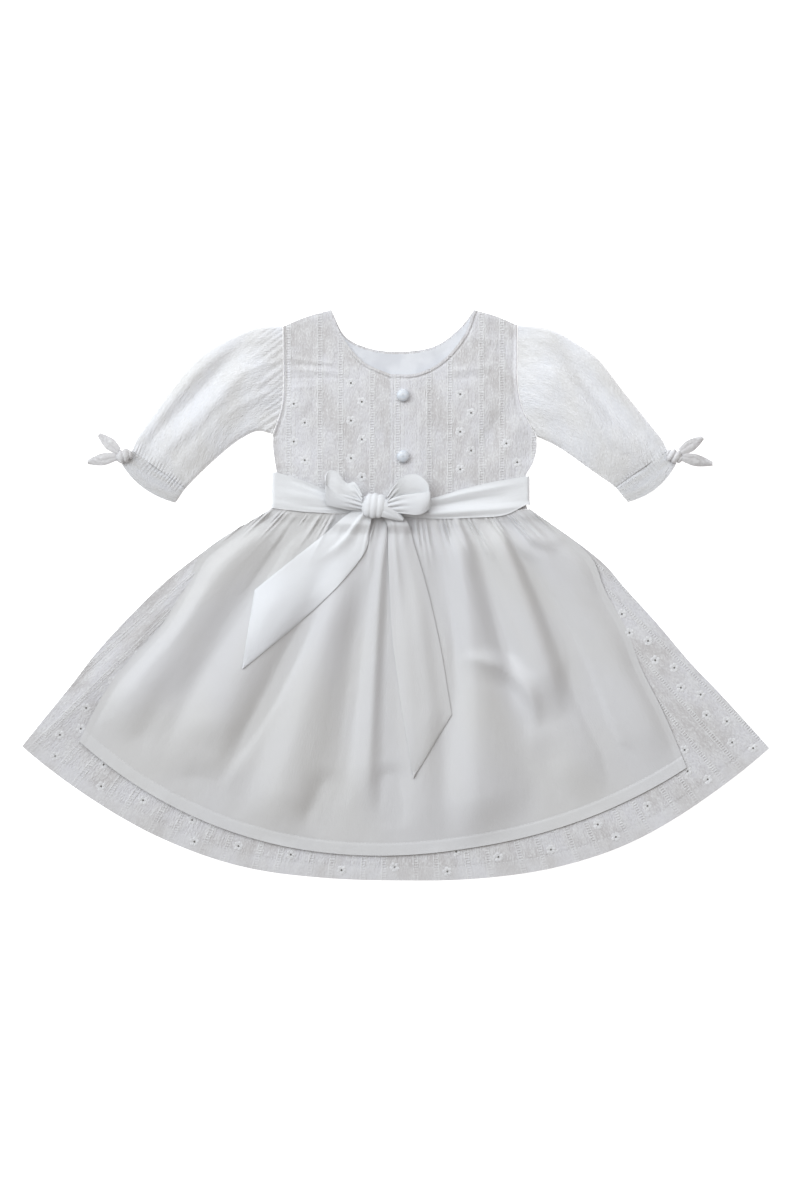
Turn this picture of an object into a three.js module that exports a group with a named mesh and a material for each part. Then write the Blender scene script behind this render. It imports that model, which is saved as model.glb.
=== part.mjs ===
// A baby's christening gown, laid out flat on its back.
// Millimetres, +Z up, neck towards +Y; left and right are as seen from above.
// The back panels lie on the ground and the front panels lie on them. The eyelet skirt
// carries a plain apron skirt, gathered with it into the waist seam. A sash passes round
// the waist and is tied in a bow in front. Each sleeve is a flattened tube with a cuff
// whose ends are knotted together at its outer edge.
import * as THREE from "three";

// Cloth walls and the spaces between them.
const WALL = 1.2;
const LINING_WALL = 1.0;
const TIE_WALL = 2.4;
const SEAM_GAP = 0.3;
const LAY_GAP = 0.5;
const BAND_ROOM = WALL + SEAM_GAP;

// The skirt's folds all point at one place above the waist. A spot on the skirt is given
// by its bearing in degrees from straight down, and its reach in millimetres from there.
const FOLD_CENTRE = { x: 3.2, y: 190 };
const WAIST_MIDDLE_X = 8;
const WAIST_MIDDLE_Y = 72.2;
const WAIST_SIDE_RISE = 6.5;
const WAIST_HALF_WIDTH = 118;
const GATHERS = 34;
const GATHER_HEAD = 0.7;
const GATHER_SWELL = 1.8;

// Side edges of the two skirts as bearings, from the waist (down 0) to the hem (down 1).
const SKIRT_EDGES = [
  { down: 0.0, left: -46.8, right: 47.0 },
  { down: 0.12, left: -49.5, right: 48.6 },
  { down: 0.25, left: -50.3, right: 49.2 },
  { down: 0.36, left: -50.4, right: 48.3 },
  { down: 0.5, left: -49.8, right: 47.5 },
  { down: 0.65, left: -48.9, right: 46.6 },
  { down: 0.78, left: -47.8, right: 46.3 },
  { down: 1.0, left: -46.5, right: 45.7 },
];
const APRON_EDGES = [
  { down: 0.0, left: -46.6, right: 46.8 },
  { down: 0.12, left: -49.2, right: 48.4 },
  { down: 0.25, left: -50.0, right: 48.4 },
  { down: 0.38, left: -47.4, right: 45.3 },
  { down: 0.53, left: -45.2, right: 43.1 },
  { down: 0.66, left: -44.9, right: 40.7 },
  { down: 0.8, left: -44.4, right: 39.2 },
  { down: 1.0, left: -42.2, right: 37.0 },
];
// Reach of the hems at each bearing.
const SKIRT_HEM = [
  { bearing: -47, reach: 479 },
  { bearing: -37.8, reach: 472.7 },
  { bearing: -26.8, reach: 467.8 },
  { bearing: -18.6, reach: 463.5 },
  { bearing: -9, reach: 455.8 },
  { bearing: 0, reach: 452.7 },
  { bearing: 9, reach: 456.6 },
  { bearing: 18.8, reach: 464 },
  { bearing: 27, reach: 468.6 },
  { bearing: 37.4, reach: 470.4 },
  { bearing: 46, reach: 474.3 },
];
const APRON_HEM = [
  { bearing: -43, reach: 438.4 },
  { bearing: -30, reach: 437.6 },
  { bearing: -16.6, reach: 434.9 },
  { bearing: 0, reach: 429.4 },
  { bearing: 10, reach: 427.6 },
  { bearing: 25.4, reach: 431.7 },
  { bearing: 38, reach: 437.5 },
];
// The apron's large folds. Each crest runs from bearing top at reach from, to bearing low
// at reach to, and falls away over left and right degrees on its two sides.
const FOLDS = [
  { top: -46.5, low: -41, from: 168, to: 415, height: 6.5, left: 6, right: 7.5 },
  { top: -33, low: -28.5, from: 215, to: 438, height: 6.5, left: 6, right: 7.5 },
  { top: -15, low: -14, from: 190, to: 432, height: 8.5, left: 7.5, right: 5.5 },
  { top: -6, low: -4.5, from: 150, to: 425, height: 5, left: 3.2, right: 4 },
  { top: 4, low: 5, from: 210, to: 430, height: 4, left: 4.5, right: 4 },
  { top: 15, low: 10.5, from: 140, to: 428, height: 6.5, left: 3, right: 6 },
  { top: 28.5, low: 24, from: 150, to: 338, height: 8.5, left: 8, right: 3.4 },
  { top: 24, low: 26, from: 320, to: 425, height: 4.5, left: 7, right: 4.5 },
  { top: 38, low: 35, from: 160, to: 430, height: 4.5, left: 4.5, right: 4.5 },
  { top: 45, low: 43, from: 165, to: 300, height: 4, left: 3.5, right: 3.5 },
];

// Outlines of the bodice. The front opening is lapped, right over left.
const LAP_EDGE_X = -5.1;
const LAP_WIDTH = 24;
const WAIST_LEFT_X = -112.4;
const WAIST_RIGHT_X = 120.4;
const LEFT_ARMHOLE = [
  { x: -104.4, y: 246.1 },
  { x: -104, y: 212 },
  { x: -104.6, y: 178.9 },
  { x: -109, y: 160.5 },
  { x: -113.4, y: 148 },
];
const LEFT_SIDE = [
  { x: -113.4, y: 148 },
  { x: -113.4, y: 134 },
  { x: -111.4, y: 120 },
  { x: -110, y: 111 },
  { x: -110, y: 97 },
  { x: -110.2, y: 84.4 },
];
const RIGHT_ARMHOLE = [
  { x: 110.9, y: 247.4 },
  { x: 110.9, y: 222 },
  { x: 110.9, y: 196 },
  { x: 114.5, y: 174.3 },
  { x: 120.4, y: 160 },
  { x: 128.6, y: 145.4 },
];
const RIGHT_SIDE = [
  { x: 128.6, y: 145.4 },
  { x: 128.6, y: 132.9 },
  { x: 125, y: 120 },
  { x: 118.9, y: 109 },
  { x: 118.5, y: 96 },
  { x: 118.7, y: 83.6 },
];
// Share of each side edge that is armhole.
const ARMHOLE_SHARE = 0.59;
const LEFT_SHOULDER = [
  { x: -104.4, y: 246.1 },
  { x: -84.2, y: 254.6 },
  { x: -59.8, y: 261.3 },
];
const RIGHT_SHOULDER = [
  { x: 71.1, y: 261.3 },
  { x: 92, y: 255.4 },
  { x: 110.9, y: 247.4 },
];
const FRONT_NECK_LEFT = [
  { x: -59.8, y: 261.3 },
  { x: -49.7, y: 236.6 },
  { x: -30.8, y: 213.9 },
  { x: -5.1, y: 201.9 },
];
const FRONT_NECK_UNDERLAP = [
  { x: -5.1, y: 201.9 },
  { x: 7, y: 201.1 },
  { x: 18.9, y: 202.9 },
];
const FRONT_NECK_RIGHT = [
  { x: -5.1, y: 201.9 },
  { x: 18.9, y: 202.9 },
  { x: 40.8, y: 214 },
  { x: 61.2, y: 237 },
  { x: 71.1, y: 261.3 },
];
const BACK_NECK = [
  { x: -59.8, y: 261.3 },
  { x: -47.2, y: 237.4 },
  { x: -25, y: 226.4 },
  { x: 6, y: 223.3 },
  { x: 36, y: 228.7 },
  { x: 58.4, y: 245.2 },
  { x: 71.1, y: 261.3 },
];
const LINING_DEPTH = 44;
const BODICE_PUFF = 3.3;

// Sleeves, a row for each section from the armhole to the cuff seam. The section runs
// from the outer edge (ox, oy) to the underarm edge (ux, uy); rise is the puff over it.
const LEFT_SLEEVE = [
  { ox: -104.8, oy: 245.8, ux: -113.8, uy: 148.4, rise: 0.8 },
  { ox: -130.2, oy: 244.3, ux: -127.4, uy: 150.9, rise: 6 },
  { ox: -155.9, oy: 234.1, ux: -141.2, uy: 144.9, rise: 6.4 },
  { ox: -180.8, oy: 218.2, ux: -154.1, uy: 135.7, rise: 6.6 },
  { ox: -201.9, oy: 194.6, ux: -167, uy: 124.7, rise: 6 },
  { ox: -222.2, oy: 167, ux: -179.9, uy: 112.7, rise: 4.6 },
  { ox: -236.5, oy: 146, ux: -190, uy: 102.5, rise: 2.8 },
  { ox: -243, oy: 132.5, ux: -193.7, uy: 98.4, rise: 1.6 },
];
const RIGHT_SLEEVE = [
  { ox: 111.3, oy: 247, ux: 129.2, uy: 145.8, rise: 0.8 },
  { ox: 140.3, oy: 243.3, ux: 142.6, uy: 139.6, rise: 6 },
  { ox: 162.4, oy: 232.3, ux: 154.1, uy: 132.7, rise: 6.4 },
  { ox: 185.4, oy: 215.7, ux: 165.8, uy: 124.3, rise: 6.6 },
  { ox: 207.4, oy: 187.6, ux: 177.6, uy: 115.9, rise: 6 },
  { ox: 229.6, oy: 159.8, ux: 189.6, uy: 107.5, rise: 4.6 },
  { ox: 243, oy: 143, ux: 198, uy: 101.8, rise: 2.8 },
  { ox: 248.4, oy: 132.4, ux: 200.9, uy: 99.4, rise: 1.6 },
];
// Cuffs, as two sections each: the seam with the sleeve and the open end, bowed outward.
const CUFF_BOW = 6.5;
const LEFT_CUFF = [
  { ox: -243.2, oy: 131.9, ux: -194.2, uy: 97.9, rise: 1.6 },
  { ox: -253.2, oy: 121.4, ux: -203.8, uy: 84.4, rise: 1.2 },
];
const RIGHT_CUFF = [
  { ox: 248.9, oy: 131.9, ux: 201.3, uy: 98.8, rise: 1.6 },
  { ox: 257.2, oy: 120.8, ux: 213.1, uy: 85.1, rise: 1.2 },
];
const SLEEVE_GATHERS = 7;
const SLEEVE_EDGE = 1.3;

// Knots on the outer edges of the cuffs, and the tips of their two pointed ends.
const CUFF_KNOT = { long: 8, wide: 6.6, high: 8.4, base: 3 };
const CUFF_TIE_WIDTH = 9;
const CUFF_TIES = {
  left: {
    knot: { x: -250.2, y: 127.2, turn: 20 },
    tips: { upper: { x: -273.4, y: 146.9 }, lower: { x: -284, y: 121.6 } },
  },
  right: {
    knot: { x: 255, y: 127, turn: -20 },
    tips: { upper: { x: 281.4, y: 144.2 }, lower: { x: 290.4, y: 120.2 } },
  },
};

// Buttons on the lap.
const BUTTON = { radius: 5.8, height: 5.4, stem: 1.6, x: 6, upperY: 182.6, lowerY: 126.5, clear: 0.6 };

// Sash, 48 mm wide cloth drawn in at the waist. Edge rows run from the side to the bow.
const SASH_BACK = { top: 112.4, bottom: 80.6 };
const SASH_RIB = 0.6;
const SASH_LEFT_TOP = [
  { x: -110.7, y: 112.2 },
  { x: -88, y: 105.2 },
  { x: -68.5, y: 97.6 },
  { x: -45, y: 90.6 },
  { x: -20.6, y: 87.6 },
];
const SASH_LEFT_BOTTOM = [
  { x: -111, y: 83.4 },
  { x: -84, y: 77.2 },
  { x: -55, y: 75.4 },
  { x: -20.6, y: 74.6 },
];
const SASH_RIGHT_TOP = [
  { x: 119.4, y: 108.4 },
  { x: 89, y: 103.4 },
  { x: 58, y: 96 },
  { x: 34.5, y: 89 },
  { x: 6, y: 85.6 },
  { x: -19.6, y: 87.4 },
];
const SASH_RIGHT_BOTTOM = [
  { x: 119.4, y: 82.6 },
  { x: 100, y: 73 },
  { x: 70, y: 70.4 },
  { x: 30, y: 69.6 },
  { x: -19.6, y: 74.4 },
];
const BOW_KNOT = { x: -20, y: 81.2, base: 11.6, long: 11, wide: 12.6, high: 11 };

// Bow loops, a row for each section along the ribbon: the middle of its width, how far it
// leans from upright towards the neck, and its width there.
const LEFT_LOOP = [
  { x: -31.8, y: 86.6, z: 17.6, lean: 40, width: 10 },
  { x: -38, y: 91, z: 18.6, lean: 42, width: 19 },
  { x: -46, y: 93.2, z: 18.8, lean: 44, width: 15 },
  { x: -55, y: 99.6, z: 20, lean: 50, width: 28 },
  { x: -62.8, y: 99.4, z: 20.4, lean: 52, width: 27 },
  { x: -64.6, y: 92.2, z: 19.2, lean: 50, width: 20 },
  { x: -56, y: 86.4, z: 19, lean: 46, width: 16 },
  { x: -44, y: 82.6, z: 18.8, lean: 42, width: 15 },
  { x: -31.6, y: 80.2, z: 17.4, lean: 40, width: 10 },
];
const RIGHT_LOOP = [
  { x: -8.4, y: 85.6, z: 18, lean: 38, width: 11 },
  { x: -1, y: 92, z: 19.6, lean: 40, width: 18 },
  { x: 8, y: 97.6, z: 21, lean: 42, width: 26 },
  { x: 19, y: 97.6, z: 21.4, lean: 42, width: 29 },
  { x: 28.4, y: 92, z: 21, lean: 42, width: 28 },
  { x: 28.6, y: 85.2, z: 20.6, lean: 42, width: 25 },
  { x: 19.4, y: 82.6, z: 20, lean: 42, width: 22 },
  { x: 6, y: 80.8, z: 18.6, lean: 40, width: 18 },
  { x: -8.2, y: 79.2, z: 17.4, lean: 38, width: 11 },
];

// Sash tails, a row for each cross section: its left and right end, and how far it is
// held up off the apron there.
const LEFT_TAIL = [
  { lx: -34, ly: 80.6, rx: -21.6, ry: 76.6, up: 0.1 },
  { lx: -47.6, ly: 71.4, rx: -24.6, ry: 61, up: 0.4 },
  { lx: -66, ly: 55.4, rx: -28.4, ry: 40.6, up: 0.8 },
  { lx: -98, ly: 30, rx: -47.6, ry: 14.4, up: 0.4 },
  { lx: -116, ly: 15.6, rx: -72, ry: -10.4, up: 0.2 },
  { lx: -130.2, ly: 4.1, rx: -98, ry: -33.4, up: 0 },
  { lx: -136.2, ly: -34, rx: -122, ry: -53.2, up: 0 },
  { lx: -141.2, ly: -67.6, rx: -140.2, ry: -68.2, up: 0 },
];
const RIGHT_TAIL = [
  { lx: -17.4, ly: 76.2, rx: -7.4, ry: 79.6, up: 0.1 },
  { lx: -8.4, ly: 64, rx: 9.6, ry: 66.6, up: 0.4 },
  { lx: -7.8, ly: 42, rx: 17, ry: 43, up: 0.8 },
  { lx: -6.4, ly: 4, rx: 28.4, ry: 4, up: 0.4 },
  { lx: -3.4, ly: -44, rx: 39.8, ry: -44, up: 0.2 },
  { lx: 3.4, ly: -96, rx: 50.2, ry: -97, up: 0 },
  { lx: 9.6, ly: -134, rx: 43.6, ry: -124.6, up: 0 },
  { lx: 15, ly: -168.4, rx: 16, ry: -167.8, up: 0 },
];

const radians = THREE.MathUtils.degToRad;
const mix = THREE.MathUtils.lerp;

// 0 below low, 1 above high, and smooth between.
const ramp = (value, low, high) => THREE.MathUtils.smoothstep(value, low, high);

// Reads one column of a table at a value of its key column, on a smooth curve.
function column(rows, key, value, name) {
  const last = rows.length - 1;
  let row = 0;
  while (row < last - 1 && value > rows[row + 1][key]) row++;
  const slope = (n) => {
    const before = rows[Math.max(0, n - 1)];
    const after = rows[Math.min(last, n + 1)];
    return (after[name] - before[name]) / (after[key] - before[key]);
  };
  const from = rows[row];
  const to = rows[row + 1];
  const span = to[key] - from[key];
  const t = THREE.MathUtils.clamp((value - from[key]) / span, 0, 1);
  const t2 = t * t;
  const t3 = t2 * t;
  return (
    from[name] * (2 * t3 - 3 * t2 + 1) +
    slope(row) * span * (t3 - 2 * t2 + t) +
    to[name] * (3 * t2 - 2 * t3) +
    slope(row + 1) * span * (t3 - t2)
  );
}

// A row of a section table read at a share of the way through it, on a smooth curve.
function section(rows, share) {
  const numbered = rows.map((row, n) => ({ ...row, n }));
  const at = share * (rows.length - 1);
  const names = Object.keys(rows[0]);
  return Object.fromEntries(names.map((name) => [name, column(numbered, "n", at, name)]));
}

// Height of the waist seam up the garment at a place across it.
function seamY(x) {
  const aside = (x - WAIST_MIDDLE_X) / WAIST_HALF_WIDTH;
  return WAIST_MIDDLE_Y + WAIST_SIDE_RISE * aside ** 2;
}

// Reach of the waist seam at a bearing, found by closing in on it.
function waistReach(bearing) {
  const slope = Math.tan(radians(bearing));
  let y = WAIST_MIDDLE_Y;
  for (let n = 0; n < 5; n++) y = seamY(FOLD_CENTRE.x + (FOLD_CENTRE.y - y) * slope);
  return (FOLD_CENTRE.y - y) / Math.cos(radians(bearing));
}

// Bearing and reach of a spot on the skirt.
function polar(x, y) {
  const across = x - FOLD_CENTRE.x;
  const along = FOLD_CENTRE.y - y;
  return {
    bearing: THREE.MathUtils.radToDeg(Math.atan2(across, along)),
    reach: Math.hypot(across, along),
  };
}

// Spot on a skirt panel, from its left edge (across 0) to its right, waist to hem.
function skirtSpot(edges, hem, across, down) {
  const left = column(edges, "down", down, "left");
  const right = column(edges, "down", down, "right");
  const evenBearing = mix(left, right, across);
  const evenWidth = mix(Math.tan(radians(left)), Math.tan(radians(right)), across);
  const atWaist = THREE.MathUtils.radToDeg(Math.atan(evenWidth));
  const bearing = mix(atWaist, evenBearing, ramp(down, 0, 0.5));
  const reach = mix(waistReach(bearing), column(hem, "bearing", bearing, "reach"), down);
  const turn = radians(bearing);
  return {
    x: FOLD_CENTRE.x + reach * Math.sin(turn),
    y: FOLD_CENTRE.y - reach * Math.cos(turn),
  };
}

// The back panels rise over the sash where it passes under them.
function overSash(y) {
  const clear = 16;
  const inside = 5;
  const below = ramp(y, SASH_BACK.bottom - clear, SASH_BACK.bottom - inside);
  const above = 1 - ramp(y, SASH_BACK.top + inside, SASH_BACK.top + clear);
  return BAND_ROOM * below * above;
}

// Share of the way in from the side edges of the skirt, 0 at them and 1 well inside.
function insideSkirt(bearing) {
  const edge = 48;
  const soft = 16;
  return ramp(edge - Math.abs(bearing), 0, soft);
}

// Underside of the eyelet skirt front.
function skirtUnder(x, y) {
  const { bearing, reach } = polar(x, y);
  const loft = 1.4 * insideSkirt(bearing) * ramp(reach, 110, 190);
  return overSash(y) + WALL + SEAM_GAP + 0.2 + loft;
}

// Greatest height of the apron's gathers, at a distance below the waist seam.
const gatherSwell = (below) => mix(GATHER_HEAD, GATHER_SWELL, ramp(below, 2, 14));

// Height of the apron's gathers at the waist.
function gatherRise(bearing, reach) {
  const below = reach - waistReach(bearing);
  const swell = gatherSwell(below);
  const fade = 1 - ramp(below, 20, 78);
  const side = Math.tan(radians(47));
  const turns = (Math.tan(radians(bearing)) / side) * (GATHERS / 2);
  return swell * fade * (1 + Math.cos(2 * Math.PI * turns)) * 0.5;
}

// Height of the apron's large folds.
function foldRise(bearing, reach) {
  const fadeIn = 34;
  const fadeOut = 46;
  let rise = 0;
  for (const fold of FOLDS) {
    const along = THREE.MathUtils.clamp((reach - fold.from) / (fold.to - fold.from), 0, 1);
    const aside = bearing - mix(fold.top, fold.low, along);
    const width = aside < 0 ? fold.left : fold.right;
    if (Math.abs(aside) >= width) continue;
    const ends =
      ramp(reach, fold.from - fadeIn, fold.from + fadeIn) *
      (1 - ramp(reach, fold.to - fadeOut, fold.to + 4));
    rise += fold.height * ends * Math.cos((Math.PI / 2) * (aside / width)) ** 2;
  }
  return rise * ramp(reach - waistReach(bearing), 0, 34);
}

// The surface that the apron lies on: the eyelet skirt's points, moved out.
const apronRest = (x, y) => skirtUnder(x, y) + WALL + LAY_GAP;

// Underside of the apron.
function apronUnder(x, y) {
  const { bearing, reach } = polar(x, y);
  return apronRest(x, y) + gatherRise(bearing, reach) + foldRise(bearing, reach);
}

// Underside of the bodice front. It is sewn down at its sides and shoulders, clears the
// lining at the neck and stands proud of the back between them.
function bodiceUnder(x, y) {
  const middle = 6;
  const aside = Math.abs(x - middle);
  const crown = Math.max(0, 1 - (aside / 114) ** 3);
  const neckEase = 1 - 0.7 * ramp(y, 165, 235);
  const waistEase = 0.45 + 0.55 * ramp(y, 84, 118);
  const lined = (LINING_WALL + SEAM_GAP) * (1 - ramp(aside, 78, 98)) * ramp(y, 138, 164);
  const puff = BODICE_PUFF * crown * neckEase * waistEase;
  return WALL + LAY_GAP + Math.hypot(overSash(y) + lined, puff);
}

// The right front is lifted where it laps over the left one.
function lapLift(x) {
  const lift = WALL + LAY_GAP;
  const inner = LAP_EDGE_X + LAP_WIDTH + 2;
  return lift * (1 - ramp(x, inner, inner + 16));
}

// Underside of the sash, over the bodice front and the gathered head of the apron.
function sashUnder(x, y) {
  const { bearing, reach } = polar(x, y);
  const above = y - seamY(x);
  const bodice = bodiceUnder(x, y) + lapLift(x);
  const head = apronRest(x, y) + gatherSwell(-above) + foldRise(bearing, reach);
  return WALL + LAY_GAP + Math.max(bodice, mix(bodice, head, ramp(-above, -9, -2)));
}

// A smooth line through the rows of an outline, as a function of a share of its length.
function line(rows) {
  const curve = new THREE.CatmullRomCurve3(
    rows.map((row) => new THREE.Vector3(row.x, row.y, 0)),
    false,
    "centripetal",
  );
  curve.arcLengthDivisions = 120;
  return (share) => curve.getPointAt(THREE.MathUtils.clamp(share, 0, 1));
}

// Two lines run one after the other as one, meeting at a share of the whole.
function joined(first, second, meet) {
  return (share) => (share < meet ? first(share / meet) : second((share - meet) / (1 - meet)));
}

// A spot inside an outline of four lines: top and bottom run across, the sides down.
function inside(top, bottom, left, right) {
  const topLeft = top(0);
  const topRight = top(1);
  const bottomLeft = bottom(0);
  const bottomRight = bottom(1);
  const spot = (axis, across, down) =>
    mix(top(across)[axis], bottom(across)[axis], down) +
    mix(left(down)[axis], right(down)[axis], across) -
    mix(
      mix(topLeft[axis], topRight[axis], across),
      mix(bottomLeft[axis], bottomRight[axis], across),
      down,
    );
  return (across, down) => ({ x: spot("x", across, down), y: spot("y", across, down) });
}

// Triangles between two rows of points that may differ in number.
function zip(triangles, first, second) {
  let i = 0;
  let j = 0;
  while (i < first.length - 1 || j < second.length - 1) {
    const nextFirst = (i + 1) / (first.length - 1);
    const nextSecond = (j + 1) / (second.length - 1);
    const stepFirst =
      j === second.length - 1 || (i < first.length - 1 && nextFirst <= nextSecond + 1e-9);
    if (stepFirst) {
      triangles.push(first[i], first[i + 1], second[j]);
      i++;
    } else {
      triangles.push(first[i], second[j + 1], second[j]);
      j++;
    }
  }
}

// A cloth wall between rows of outer and inner points. The rows of a ring close on
// themselves, and those of a sheet have two free ends.
function wall(outerRows, innerRows, ring) {
  const points = [];
  const store = (rows) =>
    rows.map((row) => {
      const numbers = row.map((point) => points.push(point) - 1);
      return ring ? [...numbers, numbers[0]] : numbers;
    });
  const outer = store(outerRows);
  const inner = store(innerRows);
  const triangles = [];
  const last = outer.length - 1;
  for (let n = 0; n < last; n++) {
    zip(triangles, outer[n], outer[n + 1]);
    zip(triangles, inner[n + 1], inner[n]);
  }
  zip(triangles, inner[0], outer[0]);
  zip(triangles, outer[last], inner[last]);
  if (!ring) {
    const ends = (rows, pick) => rows.map((row) => row[pick(row)]);
    const head = () => 0;
    const tail = (row) => row.length - 1;
    zip(triangles, ends(outer, head), ends(inner, head));
    zip(triangles, ends(inner, tail), ends(outer, tail));
  }
  return solid(points, triangles);
}

// A closed geometry from points and triangles, turned so that its faces point out.
function solid(points, triangles) {
  let volume = 0;
  for (let n = 0; n < triangles.length; n += 3) {
    const [a, b, c] = [0, 1, 2].map((k) => points[triangles[n + k]]);
    volume += a.dot(b.clone().cross(c));
  }
  if (volume < 0) triangles.reverse();
  const geometry = new THREE.BufferGeometry();
  geometry.setFromPoints(points);
  geometry.setIndex(triangles);
  geometry.computeVertexNormals();
  return geometry;
}

const shares = (count) => Array.from({ length: count + 1 }, (_, n) => n / count);

// A panel that lies on the ground or on another: spot gives its outline, under its lower
// face, and bands the number of columns in each row of cells.
function panel(spot, under, bands, thick = WALL) {
  const rows = bands.map(({ down, columns }) =>
    shares(columns).map((across) => {
      const { x, y } = spot(across, down);
      return new THREE.Vector3(x, y, under(x, y));
    }),
  );
  const raised = rows.map((row) => row.map((p) => new THREE.Vector3(p.x, p.y, p.z + thick)));
  return wall(raised, rows, false);
}

// Rows of cells, all with the same number of columns.
const bandsAt = (downs, columns) => downs.map((down) => ({ down, columns }));
const evenBands = (rows, columns) => bandsAt(shares(rows), columns);

// A wall of even thickness about a curved middle surface.
function ribbon(middle, rows, columns, thick = WALL) {
  const step = 1e-3;
  const sides = [[], []];
  for (const down of shares(rows)) {
    const pair = [[], []];
    for (const across of shares(columns)) {
      const here = middle(across, down);
      const near = (du, dv) =>
        middle(
          THREE.MathUtils.clamp(across + du, 0, 1),
          THREE.MathUtils.clamp(down + dv, 0, 1),
        );
      const alongRow = near(step, 0).sub(near(-step, 0));
      const alongFall = near(0, step).sub(near(0, -step));
      const normal = alongRow.cross(alongFall).normalize();
      pair[0].push(here.clone().addScaledVector(normal, thick / 2));
      pair[1].push(here.clone().addScaledVector(normal, -thick / 2));
    }
    sides[0].push(pair[0]);
    sides[1].push(pair[1]);
  }
  return wall(sides[0], sides[1], false);
}

const materials = {
  eyelet: new THREE.MeshStandardMaterial({ color: 0xe9e7e4, roughness: 0.9 }),
  plain: new THREE.MeshStandardMaterial({ color: 0xeeedea, roughness: 0.6 }),
  lining: new THREE.MeshStandardMaterial({ color: 0xe2e4ec, roughness: 0.8 }),
  pearl: new THREE.MeshStandardMaterial({ color: 0xd9dfe8, roughness: 0.25 }),
};

const gown = new THREE.Group();

function add(name, geometry, material) {
  const mesh = new THREE.Mesh(geometry, material);
  mesh.name = name;
  gown.add(mesh);
  return mesh;
}

// The waist seam as a line across, drawn back from the seam on one side of it.
function waistLine(fromX, toX, clear) {
  return (share) => {
    const x = mix(fromX, toX, share);
    return new THREE.Vector3(x, seamY(x) + clear, 0);
  };
}

// A side edge of the bodice: its armhole, then its side seam down to the waist.
function sideEdge(side) {
  const [armhole, seam, x] =
    side === "left"
      ? [LEFT_ARMHOLE, LEFT_SIDE, WAIST_LEFT_X]
      : [RIGHT_ARMHOLE, RIGHT_SIDE, WAIST_RIGHT_X];
  const waist = { x, y: seamY(x) + SEAM_GAP };
  return joined(line(armhole), line([...seam, waist]), ARMHOLE_SHARE);
}

function backBodice() {
  const shoulders = 0.24;
  const left = line(LEFT_SHOULDER);
  const neck = line(BACK_NECK);
  const right = line(RIGHT_SHOULDER);
  const top = (share) => {
    if (share < shoulders) return left(share / shoulders);
    if (share > 1 - shoulders) return right((share - 1 + shoulders) / shoulders);
    return neck((share - shoulders) / (1 - 2 * shoulders));
  };
  const bottom = waistLine(WAIST_LEFT_X, WAIST_RIGHT_X, SEAM_GAP);
  const spot = inside(top, bottom, sideEdge("left"), sideEdge("right"));
  const upper = shares(8).map((share) => 0.64 * share);
  const bands = bandsAt([...upper, 0.69, 0.75, 0.81, 0.87, 0.93, 1], 14);
  add("back_bodice", panel(spot, (x, y) => overSash(y), bands), materials.eyelet);
}

// The plain lining shows inside the neck and passes under the front.
function neckLining() {
  const inset = 2.5;
  const neck = line(BACK_NECK);
  const top = (share) => {
    const p = neck(mix(0.03, 0.97, share));
    return new THREE.Vector3(p.x, p.y - inset, 0);
  };
  const bottom = (share) => {
    const sag = Math.sin(Math.PI * share);
    const p = top(share);
    return new THREE.Vector3(p.x * 1.12, p.y - 12 - LINING_DEPTH * sag, 0);
  };
  const side = (share) => (down) => top(share).lerp(bottom(share), down);
  const spot = inside(top, bottom, side(0), side(1));
  const under = () => WALL + SEAM_GAP;
  const geometry = panel(spot, under, evenBands(3, 24), LINING_WALL);
  add("neck_lining", geometry, materials.lining);
}

function bodiceFronts() {
  const rows = [...shares(7).map((share) => 0.6 * share), 0.67, 0.74, 0.81, 0.87, 0.93, 1];
  const neckShare = 0.4;

  const leftShoulder = line(LEFT_SHOULDER);
  const underlap = LAP_EDGE_X + LAP_WIDTH;
  const neckThenLap = joined(line(FRONT_NECK_LEFT), line(FRONT_NECK_UNDERLAP), 0.78);
  const leftCentre = waistLine(underlap, underlap, SEAM_GAP)(0);
  const leftDrop = (share) => neckThenLap(1).lerp(leftCentre, share);
  const leftInner = joined(neckThenLap, leftDrop, neckShare);
  const leftBottom = waistLine(WAIST_LEFT_X, underlap, SEAM_GAP);
  const left = inside(leftShoulder, leftBottom, sideEdge("left"), leftInner);
  add("bodice_front_left", panel(left, bodiceUnder, bandsAt(rows, 10)), materials.eyelet);

  const rightNeck = line([...FRONT_NECK_RIGHT].reverse());
  const rightCentre = waistLine(LAP_EDGE_X, LAP_EDGE_X, SEAM_GAP)(0);
  const rightDrop = (share) => rightNeck(1).lerp(rightCentre, share);
  const rightInner = joined(rightNeck, rightDrop, neckShare);
  const rightBottom = waistLine(LAP_EDGE_X, WAIST_RIGHT_X, SEAM_GAP);
  const right = inside(line(RIGHT_SHOULDER), rightBottom, rightInner, sideEdge("right"));
  const over = (x, y) => bodiceUnder(x, y) + lapLift(x);
  add("bodice_front_right", panel(right, over, bandsAt(rows, 12)), materials.eyelet);
}

function skirts() {
  const skirt = (across, down) => skirtSpot(SKIRT_EDGES, SKIRT_HEM, across, down);
  const head = [0, 0.015, 0.03, 0.06];
  const backBands = bandsAt([...head, 0.12, 0.25, 0.36, 0.5, 0.65, 0.8, 1], 18);
  add("skirt_back", panel(skirt, (x, y) => overSash(y), backBands), materials.eyelet);
  const frontBands = bandsAt([...head, 0.12, 0.2, 0.3, 0.42, 0.55, 0.7, 0.85, 1], 20);
  add("skirt_front", panel(skirt, skirtUnder, frontBands), materials.eyelet);

  const apron = (across, down) => skirtSpot(APRON_EDGES, APRON_HEM, across, down);
  const perGather = 4;
  const fine = bandsAt([0, 0.02, 0.045, 0.1], GATHERS * perGather);
  const middle = bandsAt([0.17, 0.25], GATHERS * 2);
  const coarse = bandsAt(shares(10).map((share) => mix(0.33, 1, share)), 44);
  add("apron", panel(apron, apronUnder, [...fine, ...middle, ...coarse]), materials.plain);
}

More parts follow.
